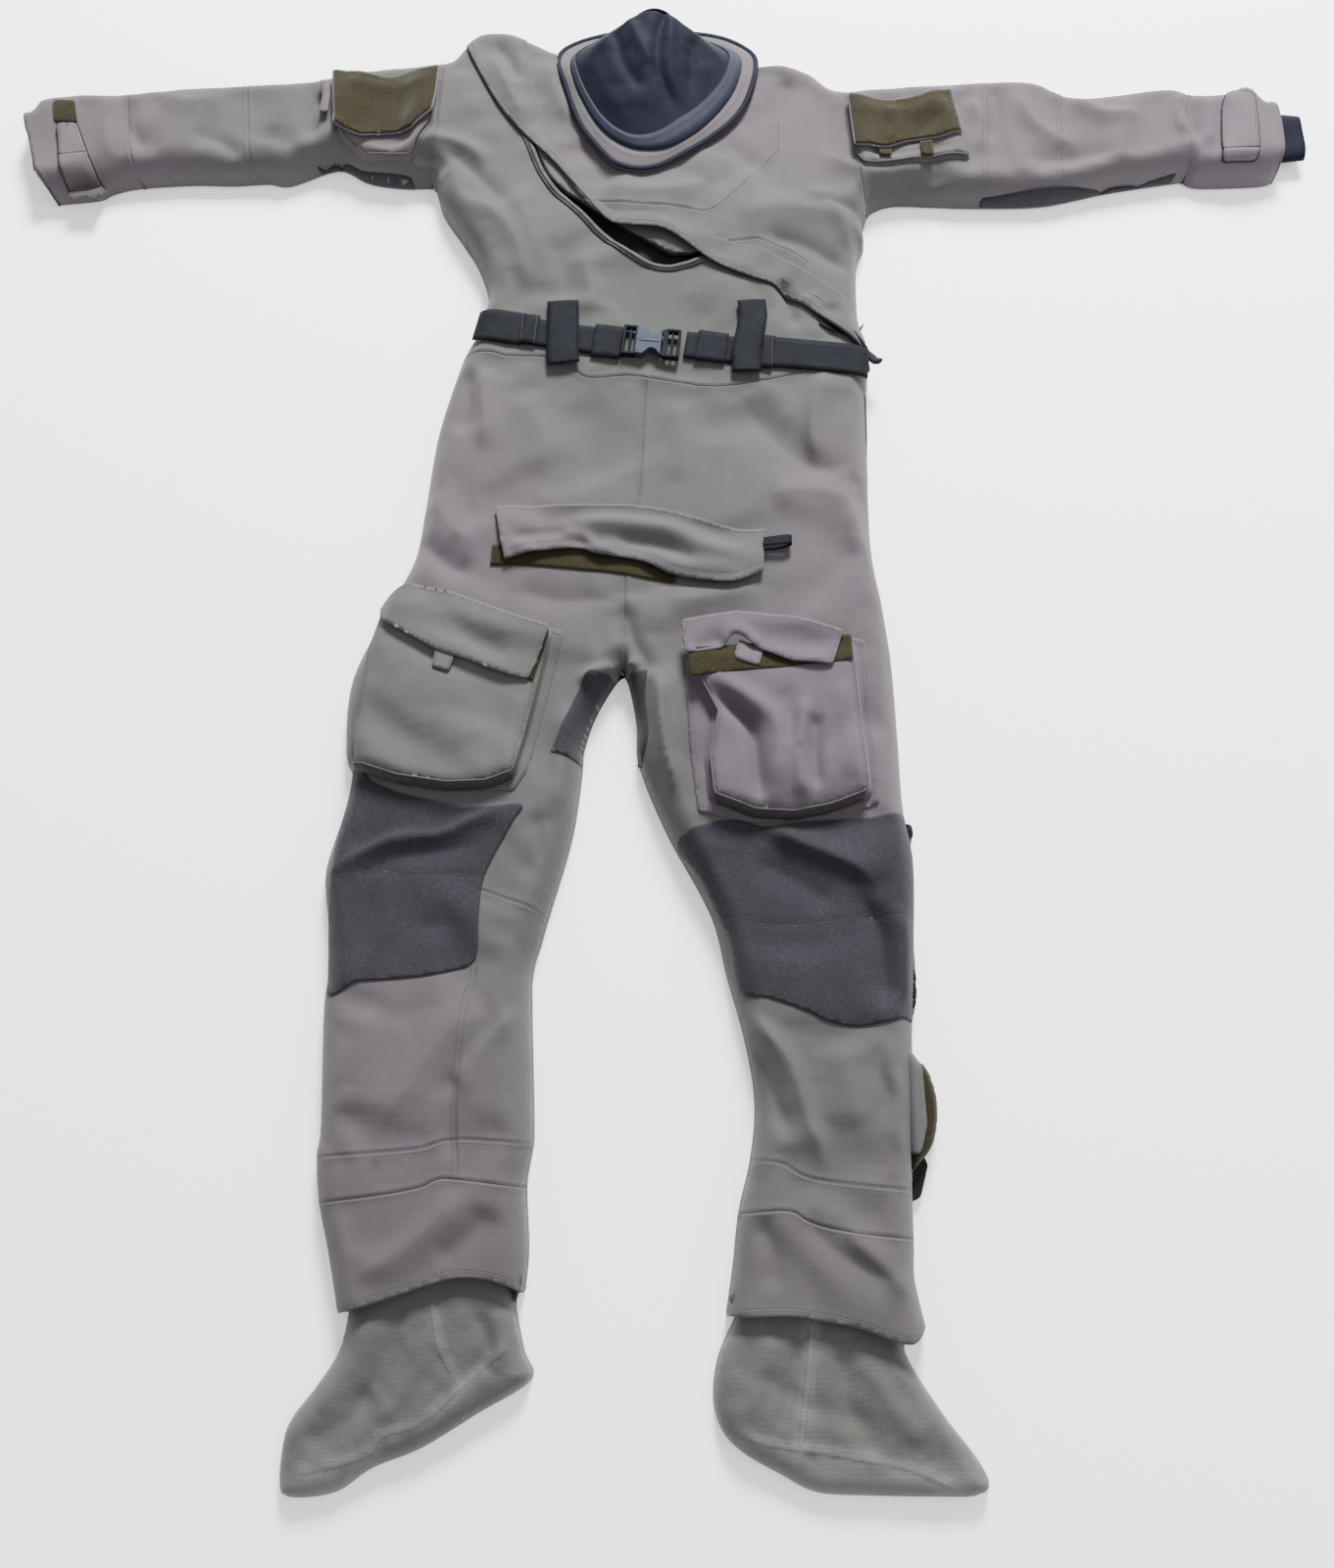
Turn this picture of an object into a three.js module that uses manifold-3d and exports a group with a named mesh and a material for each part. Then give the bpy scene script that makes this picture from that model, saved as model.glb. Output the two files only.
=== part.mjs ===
// A front-entry drysuit laid flat on its back with its arms out: sleeves, legs, sewn-in socks, neck and
// wrist seals, a diagonal entry zip, a relief zip under its flap, a waist belt and five pockets.
// Millimetres. X runs to the wearer's left, Y to the head and Z up from the surface that the suit lies on.
// Sides are the wearer's own, so right is -X. The layout is drawn from the crotch point.
import * as THREE from "three";
import { mergeVertices } from "three/addons/utils/BufferGeometryUtils.js";
import Module from "manifold-3d";

const wasm = await Module();
wasm.setup();

// ---- Cloth and how it lies ----
const FABRIC = 3; // a panel with its lining and taped seams
const GAP = 0.3; // air between pieces that touch
const LIP = 2; // turned edge of a panel at a seam that is open inside
const SIDE_RUN = 25; // width of a panel's sloping side
const BODY_HEIGHT = 50; // height of the body and legs as they lie
const SLEEVE_HEIGHT = 44;
const SHOULDER_HEIGHT = 14; // height of the front panel along the shoulder seam
const WIDEST_AT = 0.28; // share of a flattened tube's height where it is widest

// ---- Body ----
const CHEST_WIDTH = 552; // armhole to armhole
const CHEST_SHIFT = -4; // middle of the chest from the crotch line
const SHOULDER = 955; // crotch to the top of the shoulder
const WAIST_SEAM = 400; // crotch to the seam between jacket and trousers
const CENTRE_SEAM = -20; // sideways place of the trouser front seam
const SEAT_DROP = 130; // how far the seat panel runs down the legs

// ---- Sleeves ----
const ARMHOLE = 200; // width of the sleeve where it is sewn in
const ELBOW_WIDTH = 160;
const FOREARM_WIDTH = 142;
const CUFF_WIDTH = 150;
const UPPER_ARM = 150; // armhole to the end of the wide upper sleeve
const ELBOW_SEAM = 290; // armhole to the elbow seam
const CUFF_SEAM = 445; // armhole to the cuff seam
const SLEEVE_LENGTH = 565; // armhole to the end of the cuff
const ELBOW_DROP = 14; // how far the elbow panel shows below the front
const WRIST_SEAL_WIDTH = 80;
const WRIST_SEAL_HEIGHT = 30;
const WRIST_SEAL_LENGTH = 96;
const SEAL_FLARE = 12; // how much wider a wrist seal's inner end is, each side
const SEAL_SHOWS = { right: -6, left: 52 }; // how far each wrist seal comes out of its cuff
const SEAL_WALL = 3;

// ---- Legs ----
const KNEE_TOP = 165; // crotch to the upper edge of the knee patch
const KNEE_BOTTOM = 375;
const SHIN_SEAM = 545; // crotch to the gaiter's seam
const LEG_LENGTH = 700; // crotch to the gaiter's hem
const SOCK_LENGTH = 178; // hem to the tip of the toe
const SOCK_HEIGHT = 46;
const TOE_HEIGHT = 26;
const TOE_CAP = 0.9; // share of the sock that is open inside

// ---- Collar ----
const NECK_X = 8;
const NECK_Y = 830;
const NECK_RADIUS = 124; // hole in the front panel
const COLLAR_BAND = 20; // cloth band between the hole's edge and the seal
const COLLAR_RISE = 16;
const BINDING_WIDTH = 7;
const BINDING_HEIGHT = 4;
const BINDING_CORNER = 1;
const SEAL_RISE = 55; // height of the neck seal's cone
const SEAL_MOUTH = 62; // radius at its upper rim
const SEAL_LEAN = 0.35; // lean to the head for each unit of height
const RING_STEPS = 56;
const HOLE_STEPS = 48;

// ---- Zips ----
const ZIP_SLOT = 8; // opening between the cloth edges
const TAPE_SHOWS = 3; // tape seen inside the slot, each side
const TAPE_UNDER = 10; // tape sewn under the cloth, each side
const TAPE_THICKNESS = 1.7;
const SLIDER_CLEARANCE = 0.5; // each side of a slider in its slot
const SLIDER_LENGTH = 20;
const SLIDER_HEIGHT = 5;
const PULLER = { length: 34, width: 6, thickness: 1.6 };
const ENTRY_GAPE = 30; // how far the open entry gapes above the zip line
const GAPE_FROM = 0.3; // where the gape starts, as a share of the zip line
const GAPE_TO = 0.9;
const COVER = { thickness: 2, narrow: 12, shoulder: 60, side: 22, setBack: 1 };
const RELIEF = {
  x: -20,
  y: 183,
  turn: -0.108,
  width: 322,
  length: 68,
  thickness: 2.5,
  rightCorner: 6,
  leftCorner: 18,
};
const RELIEF_ZIP = { width: 10, length: 290, drop: 34, sliderHeight: 2.6, loop: 24, tapeEnd: 4 };
const HOOK_STRIP = { length: 200, width: 26, thickness: 1, shows: 10, inset: 4 };

// ---- Belt ----
const BELT = { x: 8, y: 432, turn: -0.108 };
const WEBBING = { width: 40, thickness: 1.8 };
const BUCKLE = {
  width: 50,
  length: 79,
  thickness: 12,
  wall: 2.5,
  side: 5.5, // width of each side rail
  maleBar: 22,
  overlap: 26, // how far the prongs go in
  prong: 6,
  play: 1, // room round the prongs
};
// Places along the belt run from the middle of the buckle. A loop or a band starts at its right end.
const BELT_LOOP = { width: 32, length: 78, thickness: 2, room: 6, rightStart: -152, leftStart: 92 };
const BELT_BAND = { width: 46, thickness: 1.8, room: 3, hem: 3, stitched: 8 };
const BAND_RIGHT = { start: -206, end: -168 };
const BAND_LEFT = { start: 128, end: 242, strapIn: 60 };
const STRAP_TURN = { right: 32, left: 28, leftGap: 12 }; // doubled webbing beside the buckle
const BUCKLE_END_ROOM = 4; // past the tips of the prongs
const KEEPER_CLEARANCE = 1.5; // each side of the webbing under a keeper

// ---- Pockets ----
const THIGH_POCKET = { width: 190, length: 190, depth: 20, wall: 2, flap: 62, flapThickness: 2.5, tab: 22 };
const THIGH_PLACES = { right: { x: -212, y: 58, turn: -0.16 }, left: { x: 140, y: 38, turn: 0.06 } };
const SLEEVE_POCKET = { width: 145, length: 132, depth: 12, wall: 2, flap: 96, flapThickness: 2.5 };
const SLEEVE_POCKET_PLACE = { fromArmhole: 6, aboveMiddle: 62 };
const FLAP_MARGIN = 3; // how far a pocket flap is wider than its bag, each side
const FLAP_CORNER = 8;
const CALF_POCKET = { length: 120, width: 18, height: 30, wall: 2 };
const DRAIN = { height: 12, thickness: 2, inset: 8 };
const CUFF_TAB = { length: 110, width: 46, taper: 8, thickness: 2.5, fromEnd: 50, fromSide: 4, corner: 10 };
const LOOP_PATCH = { width: 36, thickness: 1.2, underTab: 30 };

const BACK_TOP = FABRIC + GAP;
const BODY_TOP = BODY_HEIGHT + GAP; // where a piece sewn on the front of the body starts
const SLEEVE_TOP = SLEEVE_HEIGHT + GAP;
const ARMHOLE_X = { right: CHEST_SHIFT - CHEST_WIDTH / 2, left: CHEST_SHIFT + CHEST_WIDTH / 2 };
const TAB_AT = SLEEVE_LENGTH - CUFF_TAB.fromEnd; // armhole to the middle of the cuff tab

const SLEEVES = {
  right: { side: -1, y: 806, drift: { upper: 0, elbow: -12, cuffSeam: -22, cuff: -36 } },
  left: { side: 1, y: 757, drift: { upper: 12, elbow: 8, cuffSeam: 25, cuff: 30 } },
};
const ARMPIT = { right: SLEEVES.right.y - ARMHOLE / 2, left: SLEEVES.left.y - ARMHOLE / 2 };
const SEAM_STEP = 2; // how far a panel's edge stays from the end of an armhole

// Outlines as rows of [place along, right or lower edge, left or upper edge]. Places run up the body from
// the crotch, down each leg from the crotch, out along each sleeve and down each sock from the hem.
const JACKET = [
  [WAIST_SEAM, -246, 278],
  [465, -220, 285],
  [525, -215, 277],
  [585, -235, 275],
  [ARMPIT.left - 4 * SEAM_STEP, -268, ARMHOLE_X.left + 15],
  [ARMPIT.left - SEAM_STEP, -270, ARMHOLE_X.left],
  [ARMPIT.right - 4 * SEAM_STEP, ARMHOLE_X.right - 9, ARMHOLE_X.left],
  [ARMPIT.right - SEAM_STEP, ARMHOLE_X.right, ARMHOLE_X.left],
  [ARMPIT.left + ARMHOLE + SEAM_STEP, ARMHOLE_X.right, ARMHOLE_X.left],
  [ARMPIT.left + ARMHOLE + 4 * SEAM_STEP, ARMHOLE_X.right, ARMHOLE_X.left - 10],
  [ARMPIT.right + ARMHOLE + SEAM_STEP, ARMHOLE_X.right, 190],
  [ARMPIT.right + ARMHOLE + 4 * SEAM_STEP, ARMHOLE_X.right + 6, 178],
  [SHOULDER - 28, -262, 140],
  [SHOULDER, -235, -40],
];
const LEGS = {
  right: {
    hip: [
      [-WAIST_SEAM, -246, CENTRE_SEAM],
      [-315, -265, CENTRE_SEAM],
      [-180, -274, CENTRE_SEAM],
      [-110, -302, CENTRE_SEAM],
      [-3, -333, CENTRE_SEAM],
    ],
    leg: [
      [3, -335, -38],
      [100, -350, -65],
      [KNEE_TOP + 15, -352, -95],
      [KNEE_TOP + 100, -360, -108],
      [KNEE_BOTTOM, -355, -125],
      [KNEE_BOTTOM + 95, -346, -121],
      [SHIN_SEAM, -344, -116],
      [SHIN_SEAM + 55, -335, -120],
      [LEG_LENGTH, -315, -120],
    ],
  },
  left: {
    hip: [
      [-WAIST_SEAM, CENTRE_SEAM, 278],
      [-315, CENTRE_SEAM, 275],
      [-180, CENTRE_SEAM, 273],
      [-3, CENTRE_SEAM, 290],
    ],
    leg: [
      [3, -16, 291],
      [100, -8, 295],
      [KNEE_TOP + 25, 28, 302],
      [KNEE_TOP + 150, 80, 300],
      [KNEE_BOTTOM + 10, 110, 296],
      [SHIN_SEAM, 120, 290],
      [SHIN_SEAM + 30, 102, 290],
      [LEG_LENGTH, 90, 291],
    ],
  },
};
const SOCK = [
  [0, -95, 95],
  [0.25 * SOCK_LENGTH, -98, 104],
  [0.48 * SOCK_LENGTH, -86, 122],
  [0.68 * SOCK_LENGTH, -45, 142],
  [0.85 * SOCK_LENGTH, 12, 150],
  [SOCK_LENGTH, 62, 138],
];
const ZIP_LINE = [
  [-253, 930],
  [-222, 815],
  [-160, 722],
  [-100, 645],
  [-25, 588],
  [45, 562],
];
const ZIP_BEND = [105, 534]; // from here to the side the zip is straight
const ZIP_END = [250, 447];
const ZIP_STEPS = 18;
const TAPE_START = 2; // steps from the top of the zip line to the start of the tapes
const PAST_EDGE = 200; // how far the zip line is carried past the edge of the panel that it cuts

const CLOTH = { color: 0x8d8c8c, roughness: 0.9, metalness: 0 };
const FADED_CLOTH = { color: 0x96909a, roughness: 0.9, metalness: 0 };
const POCKET_CLOTH = { color: 0x868786, roughness: 0.9, metalness: 0 };
const PATCH_CLOTH = { color: 0x555966, roughness: 0.95, metalness: 0 };
const NEOPRENE = { color: 0x31374a, roughness: 0.8, metalness: 0 };
const WEB = { color: 0x35373f, roughness: 0.85, metalness: 0 };
const LOOP_CLOTH = { color: 0x77705a, roughness: 1, metalness: 0 };
const ZIP_BLACK = { color: 0x23252b, roughness: 0.6, metalness: 0 };
const ZIP_METAL = { color: 0x6d6f73, roughness: 0.4, metalness: 0.9 };
const BUCKLE_PLASTIC = { color: 0x4d545f, roughness: 0.5, metalness: 0 };
const MESH_CLOTH = { color: 0x3f4048, roughness: 0.95, metalness: 0 };

// ---- Making and cutting bodies ----
function solidOf(geometry) {
  const bare = geometry.index ? geometry.toNonIndexed() : geometry.clone();
  bare.deleteAttribute("normal");
  bare.deleteAttribute("uv");
  const merged = mergeVertices(bare, 1e-4);
  const triVerts = new Uint32Array(merged.index.array);
  const vertProperties = merged.attributes.position.array;
  return new wasm.Manifold(new wasm.Mesh({ numProp: 3, vertProperties, triVerts }));
}

function geometryOf(solid) {
  const mesh = solid.getMesh();
  const geometry = new THREE.BufferGeometry();
  geometry.setAttribute("position", new THREE.BufferAttribute(mesh.vertProperties, 3));
  geometry.setIndex(new THREE.BufferAttribute(mesh.triVerts, 1));
  return geometry;
}

function cut(geometry, ...tools) {
  return geometryOf(tools.reduce((rest, tool) => rest.subtract(solidOf(tool)), solidOf(geometry)));
}

function keep(geometry, tool) {
  return geometryOf(solidOf(geometry).intersect(solidOf(tool)));
}

function join(...geometries) {
  return geometryOf(geometries.map(solidOf).reduce((whole, next) => whole.add(next)));
}

function box(x0, x1, y0, y1, z0, z1) {
  const made = new THREE.BoxGeometry(x1 - x0, y1 - y0, z1 - z0);
  return made.translate((x0 + x1) / 2, (y0 + y1) / 2, (z0 + z1) / 2);
}

// A flat piece: a closed outline of [x, y] points, from height z.
function plate(points, z, thickness) {
  const shape = new THREE.Shape(points.map(([x, y]) => new THREE.Vector2(x, y)));
  return new THREE.ExtrudeGeometry(shape, { depth: thickness, bevelEnabled: false }).translate(0, 0, z);
}

// A closed body through cross-sections of [across, up] points, all listed anticlockwise and equally long.
// place turns (along, across, up) into a point. A mirrored body is turned right side out again.
function loft(sections, place) {
  const count = sections[0].profile.length;
  const ringAt = ({ at, profile }) => profile.map(([across, up]) => place(at, across, up));
  const points = sections.flatMap(ringAt);
  const faces = [];
  for (let ring = 0; ring < sections.length - 1; ring++) {
    for (let i = 0; i < count; i++) {
      const a = ring * count + i;
      const b = ring * count + ((i + 1) % count);
      faces.push([a, b, b + count], [a, b + count, a + count]);
    }
  }
  const flat = (profile) => profile.map(([across, up]) => new THREE.Vector2(across, up));
  const cap = (profile) => THREE.ShapeUtils.triangulateShape(flat(profile), []);
  const last = (sections.length - 1) * count;
  cap(sections[0].profile).forEach(([a, b, c]) => faces.push([c, b, a]));
  cap(sections.at(-1).profile).forEach((face) => faces.push(face.map((corner) => corner + last)));
  const signed = ([a, b, c]) => points[a].dot(points[b].clone().cross(points[c]));
  const volume = faces.reduce((sum, face) => sum + signed(face), 0);
  const outward = volume > 0 ? faces : faces.map(([a, b, c]) => [c, b, a]);
  const geometry = new THREE.BufferGeometry().setFromPoints(points);
  geometry.setIndex(outward.flat());
  return geometry;
}

// ---- Outline rows ----
function rowAt(rows, at) {
  const next = Math.max(1, rows.findIndex((row) => row[0] >= at));
  const [a, b] = [rows[next - 1], rows[next]];
  const share = (at - a[0]) / (b[0] - a[0]);
  return [at, a[1] + share * (b[1] - a[1]), a[2] + share * (b[2] - a[2])];
}

function between(rows, from, to) {
  const inside = rows.filter(([at]) => at > from + 1 && at < to - 1);
  return [rowAt(rows, from), ...inside, rowAt(rows, to)];
}

function outlineOf(rows, place) {
  const lower = rows.map(([at, low]) => place(at, low, 0));
  const upper = rows.map(([at, , high]) => place(at, high, 0)).reverse();
  return [...lower, ...upper].map(({ x, y }) => [x, y]);
}

const bodyPlace = (at, across, up) => new THREE.Vector3(across, at, up);
const legPlace = (at, across, up) => new THREE.Vector3(across, -at, up);
const sleevePlace = (side) => (at, across, up) => new THREE.Vector3(side * at, across, up);

// The arch of a front panel: each edge comes down to the back panel, or ends in a lip at an open seam.
function arch(low, high, height, lowWall, highWall) {
  const under = height - FABRIC;
  const lowRun = lowWall ? SIDE_RUN : LIP;
  const highRun = highWall ? SIDE_RUN : LIP;
  const lowFoot = lowWall ? BACK_TOP : under - LIP;
  const highFoot = highWall ? BACK_TOP : under - LIP;
  return [
    [low, lowFoot],
    [low + FABRIC, lowFoot],
    [low + lowRun + FABRIC / 2, under],
    [high - highRun - FABRIC / 2, under],
    [high - FABRIC, highFoot],
    [high, highFoot],
    [high - highRun, height],
    [low + lowRun, height],
  ];
}

// The section of a limb's flattened tube, taken in by inset on every side.
function pillow(low, high, height, inset) {
  const side = Math.min(SIDE_RUN, (high - low) / 4);
  const bottom = inset;
  const middle = WIDEST_AT * height;
  const top = height - inset;
  return [
    [low + side / 2 + inset / 2, bottom],
    [high - side / 2 - inset / 2, bottom],
    [high - inset, middle],
    [high - side - inset / 2, top],
    [low + side + inset / 2, top],
    [low + inset, middle],
  ];
}

// A flattened tube along rows of [at, low, high, height]. The bore stops at closedAt, or runs right through.
function tube(rows, wall, place, closedAt = Infinity) {
  const section = (inset) => ([at, low, high, height]) => ({ at, profile: pillow(low, high, height, inset) });
  const bored = rows.filter(([at]) => at < closedAt);
  const inner = bored.map(section(wall));
  inner[0].at -= 1;
  if (bored.length === rows.length) inner.at(-1).at += 1;
  return cut(loft(rows.map(section(0)), place), loft(inner, place));
}

// ---- Placing pieces ----
const suit = new THREE.Group();

function group(name, parent, x, y, z = 0, turn = 0) {
  const made = new THREE.Group();
  made.name = name;
  made.position.set(x, y, z);
  made.rotation.z = turn;
  parent.add(made);
  return made;
}

function piece(name, geometry, finish, parent) {
  const mesh = new THREE.Mesh(geometry, new THREE.MeshStandardMaterial(finish));
  mesh.name = name;
  parent.add(mesh);
  return mesh;
}

// ---- Entry zip ----
// The zip line as points, each with its share of the way along and the unit normal on the upper side.
function zipPoints() {
  const places = [...ZIP_LINE, ZIP_BEND].map(([x, y]) => new THREE.Vector3(x, y, 0));
  const curve = new THREE.CatmullRomCurve3(places);
  const points = [...curve.getPoints(ZIP_STEPS), new THREE.Vector3(...ZIP_END, 0)];
  return points.map((point, i) => {
    const ahead = points[Math.min(i + 1, points.length - 1)];
    const behind = points[Math.max(i - 1, 0)];
    const along = ahead.clone().sub(behind).normalize();
    return { point, normal: new THREE.Vector3(-along.y, along.x, 0), share: i / (points.length - 1) };
  });
}

const zipLine = zipPoints();
const zipAlong = new THREE.Vector3(ZIP_END[0] - ZIP_BEND[0], ZIP_END[1] - ZIP_BEND[1], 0).normalize();

// How far the open entry gapes above the slot.
function gapeAt(share) {
  const along = THREE.MathUtils.clamp((share - GAPE_FROM) / (GAPE_TO - GAPE_FROM), 0, 1);
  return ENTRY_GAPE * Math.sin(Math.PI * along) ** 2;
}

const offsetPoint = ({ point, normal }, by) => [point.x + normal.x * by, point.y + normal.y * by];
const upperEdge = (station) => ZIP_SLOT / 2 + gapeAt(station.share);
const lowerEdge = () => -ZIP_SLOT / 2;

// A ribbon beside the zip line between two offsets, each a function of the station.
function zipRibbon(from, to, z, thickness, stations = zipLine) {
  const near = stations.map((station) => offsetPoint(station, from(station)));
  const far = stations.map((station) => offsetPoint(station, to(station))).reverse();
  return plate([...near, ...far], z, thickness);
}

// Everything on one side of the zip line, as a tool that the front panel is cut with.
function sideOfZip(offset, upper) {
  const edge = zipLine.map((station) => offsetPoint(station, offset(station)));
  const first = zipLine[0].normal;
  const before = [edge[0][0] - first.y * PAST_EDGE, edge[0][1] + first.x * PAST_EDGE];
  const last = edge.at(-1);
  const after = [last[0] + zipAlong.x * PAST_EDGE, last[1] + zipAlong.y * PAST_EDGE];
  const far = SHOULDER + PAST_EDGE;
  const above = [[far, after[1]], [far, far], [before[0], far]];
  const below = [[after[0], 0], [-far, 0], [-far, far]];
  return plate([before, ...edge, after, ...(upper ? above : below)], -1, BODY_HEIGHT + 2);
}

// ---- Jacket ----
const jacketRows = between(JACKET, WAIST_SEAM + GAP, SHOULDER);

function jacketFront() {
  const sections = jacketRows.map(([at, low, high]) => {
    const onSide = (armpit) => at < armpit - 3 * SEAM_STEP || at > armpit + ARMHOLE + 3 * SEAM_STEP;
    const height = at === SHOULDER ? SHOULDER_HEIGHT : BODY_HEIGHT;
    return { at, profile: arch(low, high, height, onSide(ARMPIT.right), onSide(ARMPIT.left)) };
  });
  return loft(sections, bodyPlace);
}

function neckHole() {
  const disc = new THREE.CylinderGeometry(NECK_RADIUS, NECK_RADIUS, 2 * BODY_HEIGHT, HOLE_STEPS);
  disc.rotateX(Math.PI / 2).translate(NECK_X, NECK_Y, BODY_HEIGHT);
  const above = box(NECK_X - NECK_RADIUS, NECK_X + NECK_RADIUS, NECK_Y, SHOULDER + 1, 0, 2 * BODY_HEIGHT);
  return join(disc, above);
}

const jacket = group("jacket", suit, 0, 0);
const front = jacketFront();
const reliefPlace = group("relief", suit, RELIEF.x, RELIEF.y, 0, RELIEF.turn);

piece("jacket_front_upper", cut(keep(front, sideOfZip(upperEdge, true)), neckHole()), FADED_CLOTH, jacket);
piece("jacket_front_lower", keep(front, sideOfZip(lowerEdge, false)), CLOTH, jacket);
piece("jacket_back", plate(outlineOf(jacketRows, bodyPlace), 0, FABRIC), CLOTH, jacket);

const tapeTop = BODY_HEIGHT - FABRIC - GAP;
const tapeFoot = tapeTop - TAPE_THICKNESS;
const tapeLine = zipLine.slice(TAPE_START);
const upperTape = [(s) => upperEdge(s) - TAPE_SHOWS, (s) => upperEdge(s) + TAPE_UNDER];
const lowerTape = [(s) => lowerEdge(s) - TAPE_UNDER, (s) => lowerEdge(s) + TAPE_SHOWS];
piece("zip_tape_upper", zipRibbon(...upperTape, tapeFoot, TAPE_THICKNESS, tapeLine), ZIP_BLACK, jacket);
piece("zip_tape_lower", zipRibbon(...lowerTape, tapeFoot, TAPE_THICKNESS, tapeLine), ZIP_BLACK, jacket);

// The cover flap is wide at the shoulder, narrow over the gape and wider again towards the side.
function coverWidth(share) {
  const shoulder = COVER.shoulder * (1 - THREE.MathUtils.smoothstep(share, 0.05, 0.55));
  const side = COVER.side * Math.sin(Math.PI * THREE.MathUtils.clamp((share - 0.6) / 0.4, 0, 1));
  return COVER.narrow + shoulder + side;
}
const coverFree = (station) => upperEdge(station) + COVER.setBack;
const coverSewn = (station) => coverFree(station) + coverWidth(station.share);
piece("zip_cover_flap", zipRibbon(coverFree, coverSewn, BODY_TOP, COVER.thickness, zipLine.slice(1)),
  FADED_CLOTH, jacket);

// The slider rests at the side end of the zip, and its puller lies back along the zip.
const sliderWidth = ZIP_SLOT - 2 * SLIDER_CLEARANCE;
const sliderGroup = group("zip_slider", jacket, ZIP_END[0] - zipAlong.x * SLIDER_LENGTH,
  ZIP_END[1] - zipAlong.y * SLIDER_LENGTH, tapeTop + GAP, Math.atan2(zipAlong.y, zipAlong.x));
function zipSlider() {
  const half = sliderWidth / 2;
  const nose = [[0, -half], [SLIDER_LENGTH * 0.6, -half], [SLIDER_LENGTH * 0.9, -half / 2]];
  const outline = [...nose, ...nose.map(([x, y]) => [x, -y]).reverse()];
  return plate(outline, 0, SLIDER_HEIGHT);
}
piece("zip_slider", zipSlider(), ZIP_METAL, sliderGroup);
const pullerGroup = group("zip_puller", sliderGroup, SLIDER_LENGTH * 0.8, 0, SLIDER_HEIGHT + GAP);
function zipPuller() {
  const half = PULLER.width / 2;
  const end = -PULLER.length;
  const upperSide = [[0, half / 2], [end / 2, half], [end + half, half]];
  const lowerSide = upperSide.map(([x, y]) => [x, -y]).reverse();
  return plate([...upperSide, [end, 0], ...lowerSide], 0, PULLER.thickness);
}
piece("zip_puller", zipPuller(), ZIP_BLACK, pullerGroup);

// ---- Collar and neck seal ----
function ringOf(profile, lean = 0) {
  const closed = [...profile, profile[0]].map(([radius, z]) => new THREE.Vector2(radius, z));
  const ring = new THREE.LatheGeometry(closed, RING_STEPS).rotateX(Math.PI / 2);
  const base = profile[0][1];
  const shear = new THREE.Matrix4().makeShear(0, 0, 0, 0, 0, lean);
  return ring.translate(0, 0, -base).applyMatrix4(shear).translate(0, 0, base);
}

const collar = group("collar", jacket, NECK_X, NECK_Y);
const bandOuter = NECK_RADIUS - GAP;
const bandInner = NECK_RADIUS - COLLAR_BAND;
const bandFoot = BODY_HEIGHT - FABRIC - 1;
const sealFoot = bandFoot + COLLAR_RISE;
const band = ringOf([
  [bandOuter, bandFoot],
  [bandOuter, BODY_HEIGHT],
  [bandInner, BODY_HEIGHT + COLLAR_RISE],
  [bandInner, sealFoot],
]);
piece("collar_band", band, FADED_CLOTH, collar);
const bindingInner = NECK_RADIUS + GAP;
const bindingOuter = bindingInner + BINDING_WIDTH;
const binding = ringOf([
  [bindingInner, BODY_TOP],
  [bindingOuter, BODY_TOP],
  [bindingOuter - BINDING_CORNER, BODY_TOP + BINDING_HEIGHT],
  [bindingInner + BINDING_CORNER, BODY_TOP + BINDING_HEIGHT],
]);
piece("collar_binding", binding, ZIP_BLACK, collar);
const sealOuter = bandInner - GAP;
const sealTop = sealFoot + SEAL_RISE;
const sealProfile = [
  [sealOuter - SEAL_WALL, sealFoot],
  [sealOuter, sealFoot],
  [SEAL_MOUTH, sealTop],
  [SEAL_MOUTH - SEAL_WALL, sealTop],
];
piece("neck_seal", ringOf(sealProfile, SEAL_LEAN), NEOPRENE, collar);

// ---- Sleeves ----
function sleeveRows({ drift }) {
  const row = (at, width, centre) => [at, centre - width / 2, centre + width / 2];
  return [
    row(GAP, ARMHOLE, 0),
    row(UPPER_ARM, ARMHOLE, drift.upper),
    row(ELBOW_SEAM, ELBOW_WIDTH, drift.elbow),
    row(CUFF_SEAM, FOREARM_WIDTH, drift.cuffSeam),
    row(SLEEVE_LENGTH, CUFF_WIDTH, drift.cuff),
  ];
}

// A pocket bag open at its upper end: [across, down] from the middle of that end, on a surface at height 0.
function pocketBag({ width, length, depth, wall }) {
  const half = width / 2;
  const body = box(-half, half, -length, 0, 0, depth);
  return cut(body, box(wall - half, half - wall, wall - length, 1, wall, depth - wall));
}

// A flap sewn along its upper edge, with a pull tab when its pocket has one.
function pocketFlap({ width, flap, flapThickness, tab }) {
  const half = width / 2 + FLAP_MARGIN;
  const leftSide = [[half - FLAP_CORNER, -flap], [half, FLAP_CORNER - flap], [half, 0]];
  const rightSide = leftSide.map(([x, y]) => [-x, y]).reverse();
  const sheet = plate([...rightSide, ...leftSide], 0, flapThickness);
  if (!tab) return sheet;
  return join(sheet, box(-tab / 2, tab / 2, -flap - tab, 1 - flap, 0, flapThickness));
}

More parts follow.
